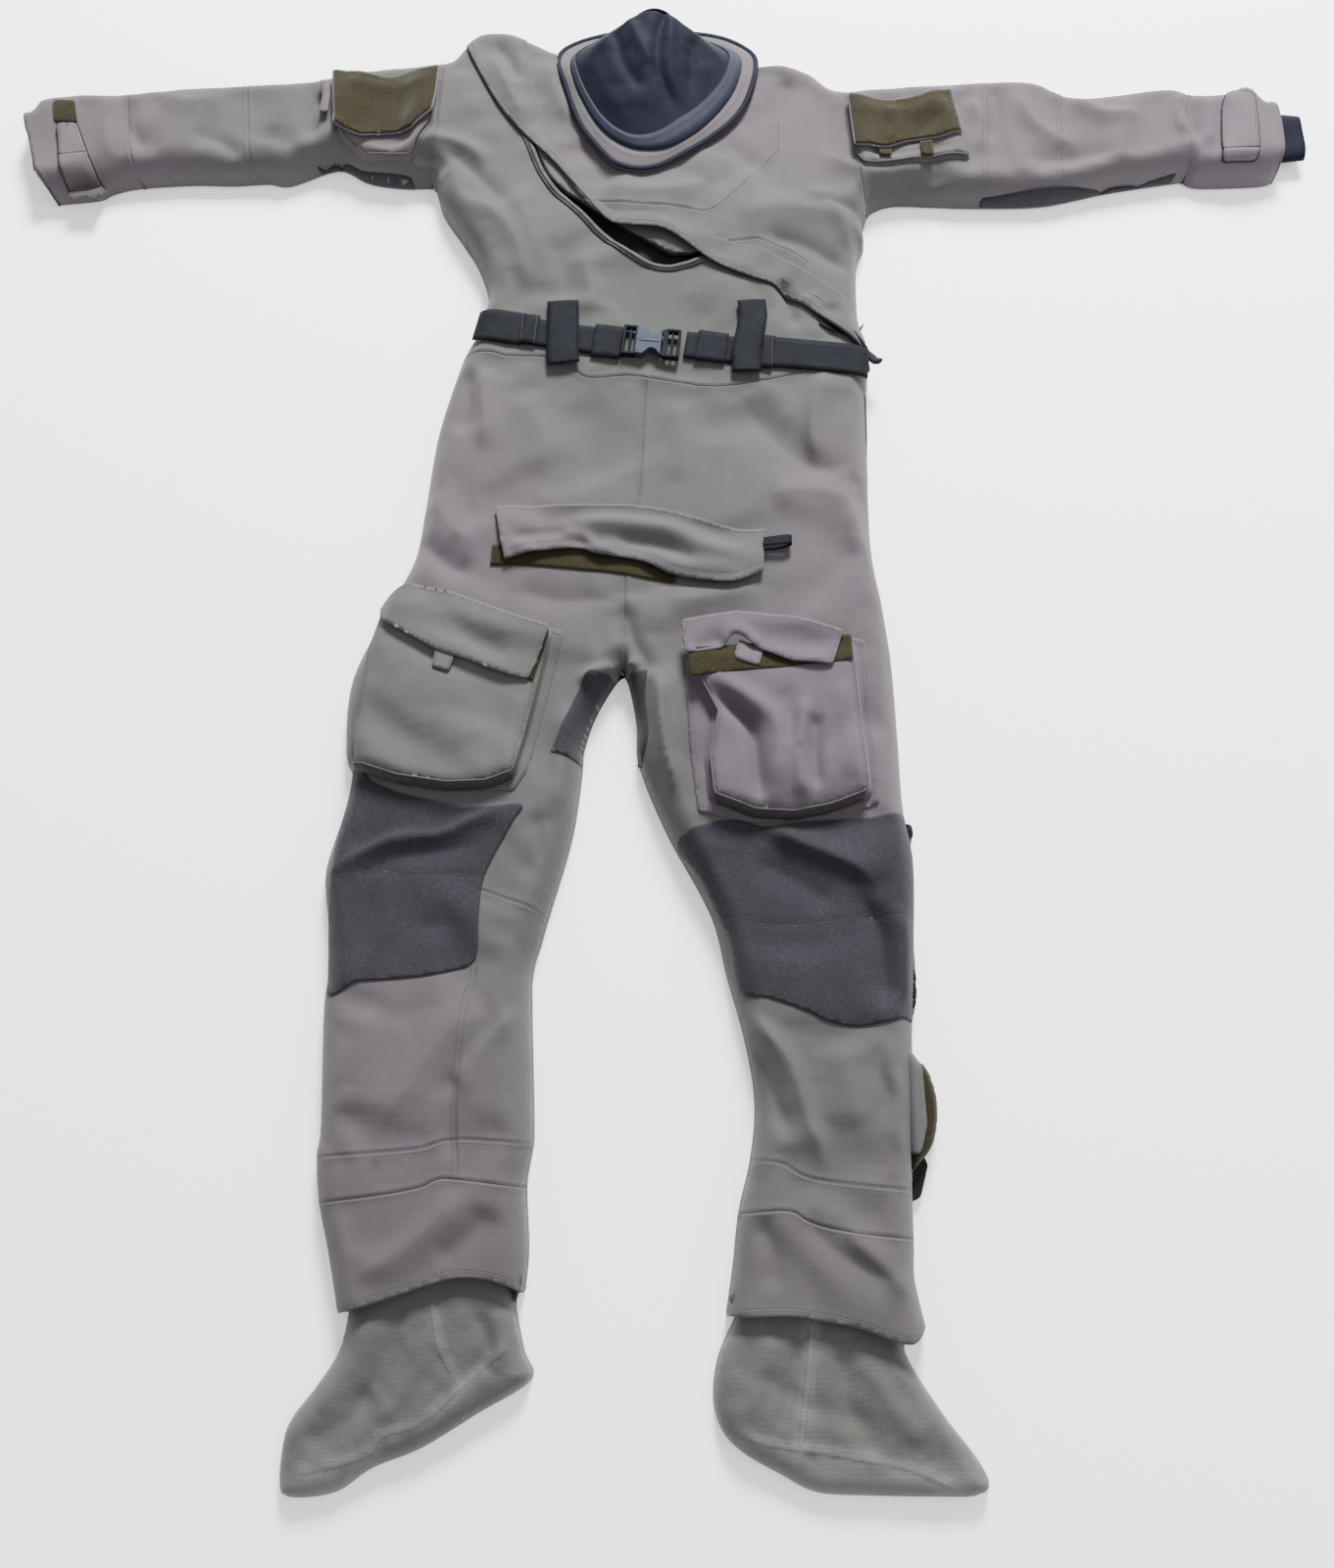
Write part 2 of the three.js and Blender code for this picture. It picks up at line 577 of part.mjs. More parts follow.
function buildSleeve(name, spec) {
  const place = sleevePlace(spec.side);
  const rows = sleeveRows(spec);
  const arm = group(name + "_sleeve", suit, ARMHOLE_X[name], spec.y);
  const frontRows = between(rows, GAP, CUFF_SEAM - GAP);
  const frontSections = frontRows.map(([at, low, high]) => ({
    at,
    profile: arch(low, high, SLEEVE_HEIGHT, true, true),
  }));
  piece(name + "_sleeve_front", loft(frontSections, place), FADED_CLOTH, arm);
  const backRows = between(rows, GAP, ELBOW_SEAM - GAP);
  piece(name + "_sleeve_back", plate(outlineOf(backRows, place), 0, FABRIC), CLOTH, arm);
  const [elbowStart, elbowEnd] = between(rows, ELBOW_SEAM, CUFF_SEAM - GAP);
  const [elbowAt, elbowLow, elbowHigh] = rowAt(rows, (ELBOW_SEAM + CUFF_SEAM) / 2);
  const elbowRows = [elbowStart, [elbowAt, elbowLow - ELBOW_DROP, elbowHigh], elbowEnd];
  piece(name + "_elbow_panel", plate(outlineOf(elbowRows, place), 0, FABRIC), PATCH_CLOTH, arm);

  const cuffRows = between(rows, CUFF_SEAM, SLEEVE_LENGTH).map((row) => [...row, SLEEVE_HEIGHT]);
  piece(name + "_cuff", tube(cuffRows, FABRIC, place), FADED_CLOTH, arm);

  const pocketAt = spec.side * (SLEEVE_POCKET.width / 2 + SLEEVE_POCKET_PLACE.fromArmhole);
  const pocketHigh = spec.drift.upper / 2 + SLEEVE_POCKET_PLACE.aboveMiddle;
  const pocket = group(name + "_sleeve_pocket", arm, pocketAt, pocketHigh, SLEEVE_TOP);
  piece(name + "_sleeve_pocket_bag", pocketBag(SLEEVE_POCKET), POCKET_CLOTH, pocket);
  const flap = group(name + "_sleeve_pocket_flap", pocket, 0, 0, SLEEVE_POCKET.depth + GAP);
  piece(name + "_sleeve_pocket_flap", pocketFlap(SLEEVE_POCKET), LOOP_CLOTH, flap);

  // The tab is sewn down at its lower end and lies up across the cuff, over the right cuff's loop patch.
  const tabHigh = rowAt(rows, TAB_AT)[1] + SIDE_RUN + CUFF_TAB.fromSide;
  const raised = name === "right" ? LOOP_PATCH.thickness + GAP : 0;
  const tab = group(name + "_cuff_tab", arm, spec.side * TAB_AT, tabHigh, SLEEVE_TOP + raised);
  piece(name + "_cuff_tab", cuffTab(), FADED_CLOTH, tab);
  return { arm, rows, place, tabHigh };
}

function cuffTab() {
  const half = CUFF_TAB.width / 2;
  const tip = half - CUFF_TAB.taper;
  const leftSide = [
    [half, 0],
    [tip, CUFF_TAB.length - CUFF_TAB.corner],
    [tip - CUFF_TAB.corner, CUFF_TAB.length],
  ];
  const rightSide = leftSide.map(([x, y]) => [-x, y]).reverse();
  return plate([...leftSide, ...rightSide], 0, CUFF_TAB.thickness);
}

const sleeves = {
  right: buildSleeve("right", SLEEVES.right),
  left: buildSleeve("left", SLEEVES.left),
};

// The right cuff shows its loop patch beside the tab's tip, and the left wrist seal comes out of its cuff.
function wristSeal(name, shows) {
  const { arm, rows, place } = sleeves[name];
  const [, low, high] = rowAt(rows, SLEEVE_LENGTH);
  const centre = (low + high) / 2;
  const half = WRIST_SEAL_WIDTH / 2;
  const end = SLEEVE_LENGTH + shows;
  const sealRows = [
    [end - WRIST_SEAL_LENGTH, centre - half - SEAL_FLARE, centre + half + SEAL_FLARE, WRIST_SEAL_HEIGHT],
    [end, centre - half, centre + half, WRIST_SEAL_HEIGHT],
  ];
  const seal = tube(sealRows, SEAL_WALL, place).translate(0, 0, FABRIC + GAP);
  piece(name + "_wrist_seal", seal, NEOPRENE, arm);
}
wristSeal("right", SEAL_SHOWS.right);
wristSeal("left", SEAL_SHOWS.left);

// ---- Legs ----
const legMiddle = (name) => {
  const [, low, high] = LEGS[name].leg.at(-1);
  return (low + high) / 2;
};

function trouserFront(name) {
  const { hip, leg } = LEGS[name];
  const outerIsLow = name === "right";
  const section = (wall) => ([at, low, high]) => ({
    at,
    profile: arch(low, high, BODY_HEIGHT, outerIsLow || wall, !outerIsLow || wall),
  });
  const seamGap = outerIsLow ? [0, -GAP / 2] : [GAP / 2, 0];
  const hipRows = hip.map(([at, low, high]) => [at, low + seamGap[0], high + seamGap[1]]);
  const legRows = between(leg, leg[0][0], SHIN_SEAM - GAP);
  const sections = [...hipRows.map(section(false)), ...legRows.map(section(true))];
  return loft(sections, legPlace);
}

function seatPanel() {
  const rowsOf = ({ hip, leg }) => [...hip, ...between(leg, leg[0][0], SEAT_DROP - GAP)];
  const right = rowsOf(LEGS.right);
  const left = rowsOf(LEGS.left);
  const points = [
    ...right.map(([at, low]) => [low, -at]),
    ...right.filter(([at]) => at > 0).map(([at, , high]) => [high, -at]).reverse(),
    ...left.filter(([at]) => at > 0).map(([at, low]) => [low, -at]),
    ...left.map(([at, , high]) => [high, -at]).reverse(),
  ];
  return plate(points, 0, FABRIC);
}

// The slot above the relief zip, and the room for its tape under the lips of the trousers' centre seam.
const reliefSlot = (() => {
  const half = RELIEF_ZIP.length / 2;
  const slotHalf = RELIEF_ZIP.width / 2;
  const slot = box(-half, half, -slotHalf, slotHalf, 0, BODY_HEIGHT + 1);
  const roomHalf = RELIEF_ZIP.width + 1;
  const lipRoom = box(-SIDE_RUN, SIDE_RUN, -roomHalf, roomHalf, 0, BODY_HEIGHT - FABRIC);
  const tool = join(slot, lipRoom).translate(0, -RELIEF_ZIP.drop, 0).rotateZ(RELIEF.turn);
  return tool.translate(RELIEF.x, RELIEF.y, 0);
})();

const trousers = group("trousers", suit, 0, 0);
piece("seat_panel", seatPanel(), PATCH_CLOTH, trousers);
for (const name of ["right", "left"]) {
  piece(name + "_trouser_front", cut(trouserFront(name), reliefSlot), CLOTH, trousers);
  const backRows = between(LEGS[name].leg, SEAT_DROP, SHIN_SEAM - GAP);
  piece(name + "_leg_back", plate(outlineOf(backRows, legPlace), 0, FABRIC), CLOTH, trousers);
  const kneeRows = between(LEGS[name].leg, KNEE_TOP, KNEE_BOTTOM)
    .map(([at, low, high]) => [at, low + SIDE_RUN, high - SIDE_RUN]);
  const kneePatch = plate(outlineOf(kneeRows, legPlace), BODY_TOP, FABRIC / 2);
  piece(name + "_knee_patch", kneePatch, PATCH_CLOTH, trousers);
  const gaiterRows = between(LEGS[name].leg, SHIN_SEAM, LEG_LENGTH).map((row) => [...row, BODY_HEIGHT]);
  piece(name + "_gaiter", tube(gaiterRows, FABRIC, legPlace), CLOTH, trousers);

  const out = name === "right" ? -1 : 1;
  const foot = group(name + "_foot", trousers, legMiddle(name), -LEG_LENGTH - GAP);
  const heightAt = (at) => SOCK_HEIGHT + (TOE_HEIGHT - SOCK_HEIGHT) * (at / SOCK_LENGTH) ** 2;
  const sockRows = SOCK.map(([at, low, high]) => [at, low, high, heightAt(at)]);
  const footPlace = (at, across, up) => new THREE.Vector3(out * across, -at, up);
  piece(name + "_sock", tube(sockRows, FABRIC, footPlace, TOE_CAP * SOCK_LENGTH), POCKET_CLOTH, foot);
}

// ---- Relief zip and its flap ----
const reliefTapeHalf = RELIEF_ZIP.length / 2 + RELIEF_ZIP.tapeEnd;
const reliefTape = new THREE.BoxGeometry(2 * reliefTapeHalf, 2 * RELIEF_ZIP.width, TAPE_THICKNESS);
reliefTape.translate(0, -RELIEF_ZIP.drop, tapeTop - TAPE_THICKNESS / 2);
piece("relief_zip_tape", reliefTape, ZIP_BLACK, reliefPlace);
const reliefFlapGroup = group("relief_flap", reliefPlace, 0, 0, BODY_TOP + HOOK_STRIP.thickness + GAP);
const reliefHalf = RELIEF.width / 2;
const reliefFlap = plate([
  [-reliefHalf, 0],
  [-reliefHalf, RELIEF.rightCorner - RELIEF.length],
  [RELIEF.rightCorner - reliefHalf, -RELIEF.length],
  [reliefHalf - RELIEF.leftCorner, -RELIEF.length],
  [reliefHalf, RELIEF.leftCorner - RELIEF.length],
  [reliefHalf, 0],
], 0, RELIEF.thickness);
piece("relief_flap", reliefFlap, CLOTH, reliefFlapGroup);
const hookLow = -RELIEF.length - HOOK_STRIP.shows;
const hookStart = HOOK_STRIP.inset - reliefHalf;
const hookStrip = box(hookStart, hookStart + HOOK_STRIP.length, hookLow, hookLow + HOOK_STRIP.width,
  BODY_TOP, BODY_TOP + HOOK_STRIP.thickness);
piece("relief_hook_strip", hookStrip, LOOP_CLOTH, reliefPlace);
const sliderAt = RELIEF_ZIP.length / 2 - RELIEF_ZIP.loop - SLIDER_LENGTH - 1;
const reliefSlider = group("relief_slider", reliefPlace, sliderAt, -RELIEF_ZIP.drop, tapeTop + GAP);
const sliderHalf = RELIEF_ZIP.width / 2 - SLIDER_CLEARANCE;
const reliefRun = (x0, x1) => box(x0, x1, -sliderHalf, sliderHalf, 0, RELIEF_ZIP.sliderHeight);
piece("relief_slider", reliefRun(0, SLIDER_LENGTH), ZIP_METAL, reliefSlider);
piece("relief_pull_loop", reliefRun(SLIDER_LENGTH + GAP, SLIDER_LENGTH + RELIEF_ZIP.loop), WEB, reliefSlider);

// ---- Thigh and calf pockets ----
for (const [name, { x, y, turn }] of Object.entries(THIGH_PLACES)) {
  const pocket = group(name + "_thigh_pocket", trousers, x, y, BODY_TOP, turn);
  piece(name + "_thigh_pocket_bag", pocketBag(THIGH_POCKET), POCKET_CLOTH, pocket);
  const half = THIGH_POCKET.width / 2;
  const below = -THIGH_POCKET.length - GAP;
  const drainHalf = half - DRAIN.inset;
  const drain = box(-drainHalf, drainHalf, below - DRAIN.thickness, below, 0, DRAIN.height);
  piece(name + "_thigh_pocket_drain", drain, MESH_CLOTH, pocket);
  const flap = group(name + "_thigh_pocket_flap", pocket, 0, 0, THIGH_POCKET.depth + GAP);
  piece(name + "_thigh_pocket_flap", pocketFlap(THIGH_POCKET), POCKET_CLOTH, flap);
}

const calfTop = SHIN_SEAM - CALF_POCKET.length;
const calfEdge = Math.max(rowAt(LEGS.left.leg, calfTop)[2], rowAt(LEGS.left.leg, SHIN_SEAM)[2]);
const calf = group("calf_pocket", trousers, calfEdge + GAP, -calfTop, BACK_TOP);
const calfWall = CALF_POCKET.wall;
const calfBag = box(0, CALF_POCKET.width, -CALF_POCKET.length, 0, 0, CALF_POCKET.height);
const calfRoom = box(calfWall, CALF_POCKET.width - calfWall, calfWall - CALF_POCKET.length, 1,
  calfWall, CALF_POCKET.height - calfWall);
piece("calf_pocket", cut(calfBag, calfRoom), LOOP_CLOTH, calf);

// ---- Loop patch on the right cuff, part of it under the tab's tip ----
const patchHalf = LOOP_PATCH.width / 2;
const patchLow = sleeves.right.tabHigh + CUFF_TAB.length - LOOP_PATCH.underTab;
const patchHigh = rowAt(sleeves.right.rows, TAB_AT)[2] - SIDE_RUN - 1;
const loopPatch = box(-TAB_AT - patchHalf, patchHalf - TAB_AT, patchLow, patchHigh,
  SLEEVE_TOP, SLEEVE_TOP + LOOP_PATCH.thickness);
piece("right_cuff_loop_patch", loopPatch, LOOP_CLOTH, sleeves.right.arm);

// ---- Belt ----
const belt = group("belt", suit, BELT.x, BELT.y, BODY_TOP, BELT.turn);

// A flat strip of webbing from x0 to x1, at height z.
const strip = (x0, x1, width, z, thickness) => box(x0, x1, -width / 2, width / 2, z, z + thickness);

// A keeper: a bridge of webbing sewn down above and below the strap that passes under it.
function keeper(x0, x1, length, thickness, room) {
  const bridge = box(x0, x1, -length / 2, length / 2, 0, room + thickness);
  const tunnelHalf = WEBBING.width / 2 + KEEPER_CLEARANCE;
  return cut(bridge, box(x0 - 1, x1 + 1, -tunnelHalf, tunnelHalf, -1, room));
}

const buckleHalf = BUCKLE.length / 2;
const femaleEnd = buckleHalf - BUCKLE.maleBar; // where the two halves meet
const mouthHalf = BUCKLE.width / 2 - BUCKLE.side;

// The female half is a flat sleeve that is open where the prongs go in.
function buckleFemale() {
  const half = BUCKLE.width / 2;
  const corner = BUCKLE.side;
  const lowerSide = [[-buckleHalf, -half], [femaleEnd - corner, -half], [femaleEnd, corner - half]];
  const upperSide = lowerSide.map(([x, y]) => [x, -y]).reverse();
  const shell = plate([...lowerSide, ...upperSide], 0, BUCKLE.thickness);
  const mouthEnd = femaleEnd - BUCKLE.overlap - BUCKLE_END_ROOM;
  const mouthTop = BUCKLE.thickness - BUCKLE.wall;
  return cut(shell, box(mouthEnd, femaleEnd + 1, -mouthHalf, mouthHalf, BUCKLE.wall, mouthTop));
}

// The male half is a bar with two sprung prongs and a guide between them.
function buckleMale() {
  const start = femaleEnd + GAP;
  const half = BUCKLE.width / 2;
  const corner = BUCKLE.side;
  const lowerSide = [[start, corner - half], [start + corner, -half], [buckleHalf, -half]];
  const upperSide = lowerSide.map(([x, y]) => [x, -y]).reverse();
  const bar = plate([...lowerSide, ...upperSide], 0, BUCKLE.thickness);
  const prongHalf = mouthHalf - BUCKLE.play;
  const skin = BUCKLE.wall + BUCKLE.play;
  const prong = (from, to) => box(start - BUCKLE.overlap, start + 1, from, to, skin, BUCKLE.thickness - skin);
  const outer = prongHalf - BUCKLE.prong;
  const guideHalf = BUCKLE.prong / 3;
  return join(bar, prong(-prongHalf, -outer), prong(outer, prongHalf), prong(-guideHalf, guideHalf));
}
piece("buckle_female", buckleFemale(), BUCKLE_PLASTIC, belt);
const buckleSide = group("buckle_male", belt, 0, 0);
piece("buckle_male", buckleMale(), BUCKLE_PLASTIC, buckleSide);

// Each strap is doubled where it turns back at the buckle.
const web = (x0, x1, z) => strip(x0, x1, WEBBING.width, z, WEBBING.thickness);
const turnedFoot = WEBBING.thickness - 0.1;
const strapEnd = -buckleHalf - GAP;
const strapRight = join(web(BAND_RIGHT.end, strapEnd, 0),
  web(strapEnd - STRAP_TURN.right, strapEnd, turnedFoot));
piece("belt_strap_right", strapRight, WEB, belt);
const turnStart = buckleHalf + STRAP_TURN.leftGap;
const strapLeft = join(web(buckleHalf + GAP, BAND_LEFT.start + BAND_LEFT.strapIn, 0),
  web(turnStart, turnStart + STRAP_TURN.left, turnedFoot));
piece("belt_strap_left", strapLeft, WEB, buckleSide);

const beltLoop = (x) => keeper(x, x + BELT_LOOP.width, BELT_LOOP.length, BELT_LOOP.thickness, BELT_LOOP.room);
piece("belt_loop_right", beltLoop(BELT_LOOP.rightStart), WEB, belt);
piece("belt_loop_left", beltLoop(BELT_LOOP.leftStart), WEB, belt);
const bandRight = strip(BAND_RIGHT.start, BAND_RIGHT.end - GAP, BELT_BAND.width, 0, BELT_BAND.thickness);
piece("belt_band_right", bandRight, WEB, belt);
const bandRoom = strip(BAND_LEFT.start - 1, BAND_LEFT.end - BELT_BAND.stitched, WEBBING.width + 2, -1,
  BELT_BAND.room + 1);
const bandOver = strip(BAND_LEFT.start, BAND_LEFT.end, BELT_BAND.width + 2 * BELT_BAND.hem, 0,
  BELT_BAND.room + BELT_BAND.thickness);
piece("belt_band_left", cut(bandOver, bandRoom), WEB, belt);

// ---- The part's own frame: origin under the middle of the box, on the surface it lies on ----
const bounds = new THREE.Box3().setFromObject(suit);
const middle = bounds.getCenter(new THREE.Vector3());
const part = new THREE.Group();
part.add(suit);
suit.position.set(-middle.x, -middle.y, -bounds.min.z);

export default part;
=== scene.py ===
import math

import bpy
import numpy as np
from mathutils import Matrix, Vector
from mathutils.geometry import delaunay_2d_cdt


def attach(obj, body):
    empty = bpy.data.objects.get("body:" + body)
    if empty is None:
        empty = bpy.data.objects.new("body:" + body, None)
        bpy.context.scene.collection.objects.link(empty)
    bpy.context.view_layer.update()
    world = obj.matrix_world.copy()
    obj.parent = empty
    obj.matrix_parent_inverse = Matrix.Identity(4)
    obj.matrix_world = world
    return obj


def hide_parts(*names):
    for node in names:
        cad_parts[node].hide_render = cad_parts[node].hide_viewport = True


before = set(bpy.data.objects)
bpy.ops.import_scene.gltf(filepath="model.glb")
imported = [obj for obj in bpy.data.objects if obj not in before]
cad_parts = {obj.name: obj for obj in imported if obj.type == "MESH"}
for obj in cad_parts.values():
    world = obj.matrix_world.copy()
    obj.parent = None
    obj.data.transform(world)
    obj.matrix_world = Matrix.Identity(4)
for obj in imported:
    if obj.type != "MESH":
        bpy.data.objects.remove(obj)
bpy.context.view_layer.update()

# A front-entry drysuit laid flat on its back. Places are in millimetres in the part's frame: X to the
# wearer's left, Y to the head, Z up. Meshes are in metres. Sides are the wearer's own, so right is -X.
MM = 0.001

# ---- How the cloth lies ----
EDGE_Z = 3.0  # height of the rolled side edge of the front
ROLL = 30.0  # width of the roll from the side edge to the flat top
BODY_TOP = 50.0
SLEEVE_TOP = 44.0
CLOTH = 1.3  # thickness of the laminate
STEP = 5.0  # spacing of the points in a panel

# ---- Outlines of the suit as it lies ----
RIGHT_SIDE = [
    (-338, -748), (-352, -690), (-366, -638), (-372, -590), (-370, -560), (-376, -436), (-374, -402),
    (-378, -346), (-386, -290), (-381, -255), (-368, -205), (-364, -165), (-373, -138), (-372, -52),
    (-340, 30), (-318, 76), (-304, 116), (-296, 182), (-286, 280), (-262, 380), (-246, 420),
    (-236, 454), (-231, 490), (-246, 540), (-270, 582), (-296, 624), (-306, 656),
]
RIGHT_SLEEVE_LOW = [
    (-314, 672), (-352, 672), (-400, 680), (-434, 700), (-458, 698), (-508, 676), (-538, 680), (-584, 677),
    (-640, 678), (-714, 672), (-748, 662), (-762, 653), (-818, 646),
]
RIGHT_CUFF_END = [(-818, 646), (-834, 668), (-850, 716), (-862, 752), (-866, 782)]
RIGHT_SLEEVE_HIGH = [
    (-866, 782), (-852, 802), (-800, 811), (-742, 811), (-654, 821), (-580, 825), (-486, 833), (-440, 846),
    (-380, 855), (-320, 860), (-298, 862),
]
RIGHT_SHOULDER = [(-298, 862), (-280, 886), (-256, 906), (-216, 909), (-182, 896), (-150, 878)]
NECKLINE = [
    (-150, 878), (-146, 846), (-134, 798), (-114, 736), (-84, 690), (-62, 668), (-38, 660), (-14, 663),
    (12, 676), (46, 699), (84, 732), (108, 768), (122, 826), (124, 854),
]
LEFT_SHOULDER = [(124, 854), (164, 855), (204, 838), (238, 812)]
LEFT_SLEEVE_HIGH = [
    (238, 812), (300, 822), (394, 829), (434, 831), (480, 833), (516, 826), (556, 804), (616, 810),
    (686, 820), (722, 811), (768, 814), (788, 825), (808, 820), (822, 800),
]
LEFT_CUFF_END = [(822, 800), (829, 770), (829, 720), (824, 682)]
LEFT_SLEEVE_LOW = [
    (824, 682), (806, 676), (722, 673), (702, 682), (686, 680), (602, 665), (510, 643), (422, 640),
    (360, 642), (306, 643), (276, 630),
]
LEFT_SIDE = [
    (268, 612), (263, 592), (265, 572), (254, 540), (252, 446), (262, 400), (257, 308), (254, 128),
    (264, 44), (271, -20), (274, -102), (276, -205), (284, -270), (280, -358), (274, -442), (268, -560),
    (264, -626), (263, -680), (262, -714), (270, -758),
]
LEFT_INNER = [
    (64, -750), (72, -700), (79, -646), (92, -594), (98, -534), (88, -468), (70, -400), (52, -328),
    (2, -232), (-30, -150), (-33, -100), (-44, -46),
]
RIGHT_INNER = [
    (-54, -43), (-80, -88), (-94, -132), (-96, -165), (-106, -240), (-130, -330), (-137, -358), (-146, -394),
    (-146, -436), (-140, -562), (-142, -590), (-146, -622), (-142, -686), (-145, -728),
]
RIGHT_HEM = [(-338, -748), (-298, -737), (-254, -723), (-220, -713), (-192, -712), (-164, -718), (-145, -728)]
LEFT_HEM = [(64, -750), (126, -748), (162, -753), (200, -760), (224, -769), (250, -774), (270, -758)]
RIGHT_ARMHOLE = [(-314, 672), (-306, 720), (-304, 770), (-302, 820), (-298, 862)]
LEFT_ARMHOLE = [(268, 612), (256, 660), (250, 712), (244, 764), (238, 812)]
WAIST = [
    (-260, 382), (-220, 383), (-198, 377), (-146, 375), (-114, 357), (-96, 346), (-46, 348), (-14, 344),
    (58, 333), (118, 340), (168, 352), (204, 368), (261, 372),
]
CENTRE = [(-24, 344), (-30, 200), (-36, 130), (-46, 76), (-47, 10), (-46, -44)]
RIGHT_SHIN_SEAM = [(-366, -640), (-298, -632), (-254, -624), (-236, -616), (-214, -616), (-146, -624)]
LEFT_SHIN_SEAM = [(77, -650), (128, -647), (148, -657), (182, -666), (263, -676)]
RIGHT_CUFF_SEAM = [(-728, 814), (-724, 760), (-714, 700), (-706, 672)]
LEFT_CUFF_SEAM = [(712, 813), (708, 780), (706, 720), (703, 682)]

# ---- Entry zip ----
ZIP_LOW = [
    (-278, 892), (-254, 866), (-230, 814), (-203, 760), (-180, 700), (-156, 643), (-114, 593), (-72, 549),
    (-32, 519), (2, 509), (30, 514), (58, 522), (84, 514), (116, 503), (150, 488), (186, 464), (226, 433),
    (261, 402),
]
FLAP_FREE = [
    (-274, 886), (-268, 862), (-244, 808), (-216, 756), (-182, 713), (-144, 670), (-102, 612), (-74, 576),
    (-50, 566), (-8, 562), (18, 550), (50, 524), (74, 508), (110, 493), (138, 483), (168, 457), (206, 425),
    (236, 401), (262, 380),
]
FLAP_SEWN = [
    (-190, 896), (-178, 800), (-158, 736), (-142, 690), (-104, 626), (-66, 592), (-30, 590), (20, 582),
    (62, 556), (92, 548), (124, 540), (162, 516), (206, 482), (240, 456), (257, 440),
]


# ---- Lines, distances and noise ----
def curve(points, step=4.0, closed=False):
    """A smooth line through the given points, with a point about every step."""
    p = np.array(points, float)
    if closed:
        p = np.vstack([p[-1], p, p[0], p[1]])
    else:
        p = np.vstack([2 * p[0] - p[1], p, 2 * p[-1] - p[-2]])
    parts = []
    for a, b, c, d in zip(p, p[1:], p[2:], p[3:]):
        count = max(1, round(float(np.linalg.norm(c - b)) / step))
        t = (np.arange(count) / count)[:, None]
        square, cube = t * t, t * t * t
        parts.append(0.5 * (2 * b + (c - a) * t + (2 * a - 5 * b + 4 * c - d) * square
                            + (3 * b - a - 3 * c + d) * cube))
    if not closed:
        parts.append(p[-2][None])
    return np.vstack(parts)


def joined(*lines):
    """Lines end to end, without the repeated points where they meet."""
    points = np.vstack(lines)
    keep = np.ones(len(points), bool)
    keep[1:] = np.linalg.norm(np.diff(points, axis=0), axis=1) > 0.5
    points = points[keep]
    if np.linalg.norm(points[0] - points[-1]) < 0.5:
        points = points[:-1]
    return points


def near(points, line):
    """Distance to a line, the share of the way along it and the side, for each point."""
    best = np.full(len(points), 1e9)
    share = np.zeros(len(points))
    side = np.zeros(len(points))
    lengths = np.linalg.norm(np.diff(line, axis=0), axis=1)
    total = max(lengths.sum(), 1e-9)
    done = 0.0
    for a, b, length in zip(line, line[1:], lengths):
        if length > 1e-9:
            d = (b - a) / length
            rel = points - a
            t = np.clip(rel @ d, 0, length)
            off = rel - t[:, None] * d
            dist = np.hypot(off[:, 0], off[:, 1])
            take = dist < best
            best[take] = dist[take]
            share[take] = (done + t[take]) / total
            side[take] = np.sign(d[0] * rel[take, 1] - d[1] * rel[take, 0])
        done += length
    return best, share, side


def inside(points, loops):
    """Which points lie inside an odd number of closed loops."""
    found = np.zeros(len(points), bool)
    x, y = points[:, 0], points[:, 1]
    for loop in loops:
        for (x0, y0), (x1, y1) in zip(loop, np.roll(loop, -1, axis=0)):
            if y0 != y1:
                crosses = ((y0 > y) != (y1 > y)) & (x < (x1 - x0) * (y - y0) / (y1 - y0) + x0)
                found ^= crosses
    return found


def smoothstep(t):
    """Eases from 0 to 1 while t does."""
    t = np.clip(t, 0, 1)
    return t * t * (3 - 2 * t)


def noise(points, size, seed):
    """Smooth noise from -1 to 1 over points, with features of that size."""
    rng = np.random.default_rng(seed)
    table = rng.uniform(-1, 1, (257, 257))
    p = points / size + 100.0
    cell = np.floor(p).astype(int)
    t = smoothstep(p - cell)
    i, j = cell[:, 0] % 256, cell[:, 1] % 256
    low = table[i, j] * (1 - t[:, 0]) + table[i + 1, j] * t[:, 0]
    high = table[i, j + 1] * (1 - t[:, 0]) + table[i + 1, j + 1] * t[:, 0]
    return low * (1 - t[:, 1]) + high * t[:, 1]


# ---- The height of the front ----
SIDE_R = curve(RIGHT_SIDE + RIGHT_SLEEVE_LOW, 6.0)
TOP_R = curve(RIGHT_SLEEVE_HIGH + RIGHT_SHOULDER[1:], 6.0)
TOP_L = curve(LEFT_SHOULDER + LEFT_SLEEVE_HIGH[1:], 6.0)
SIDE_L = curve(LEFT_SLEEVE_LOW + LEFT_SIDE, 6.0)
CROTCH = curve(LEFT_INNER + RIGHT_INNER, 6.0)
SILHOUETTE = [SIDE_R, TOP_R, TOP_L, SIDE_L, CROTCH]
OUTLINE = joined(SIDE_R, curve(RIGHT_CUFF_END, 6.0), TOP_R, curve(NECKLINE, 6.0), TOP_L,
                 curve(LEFT_CUFF_END, 6.0),
                 SIDE_L, curve(LEFT_HEM[::-1], 6.0), CROTCH, curve(RIGHT_HEM[::-1], 6.0))
BELT_LINE = np.array([(-250, 418), (-14, 390), (262, 366)], float)
CALM = [BELT_LINE, np.array([(190, 430), (240, 400)], float), np.array([(40, 98), (110, 90)], float)]

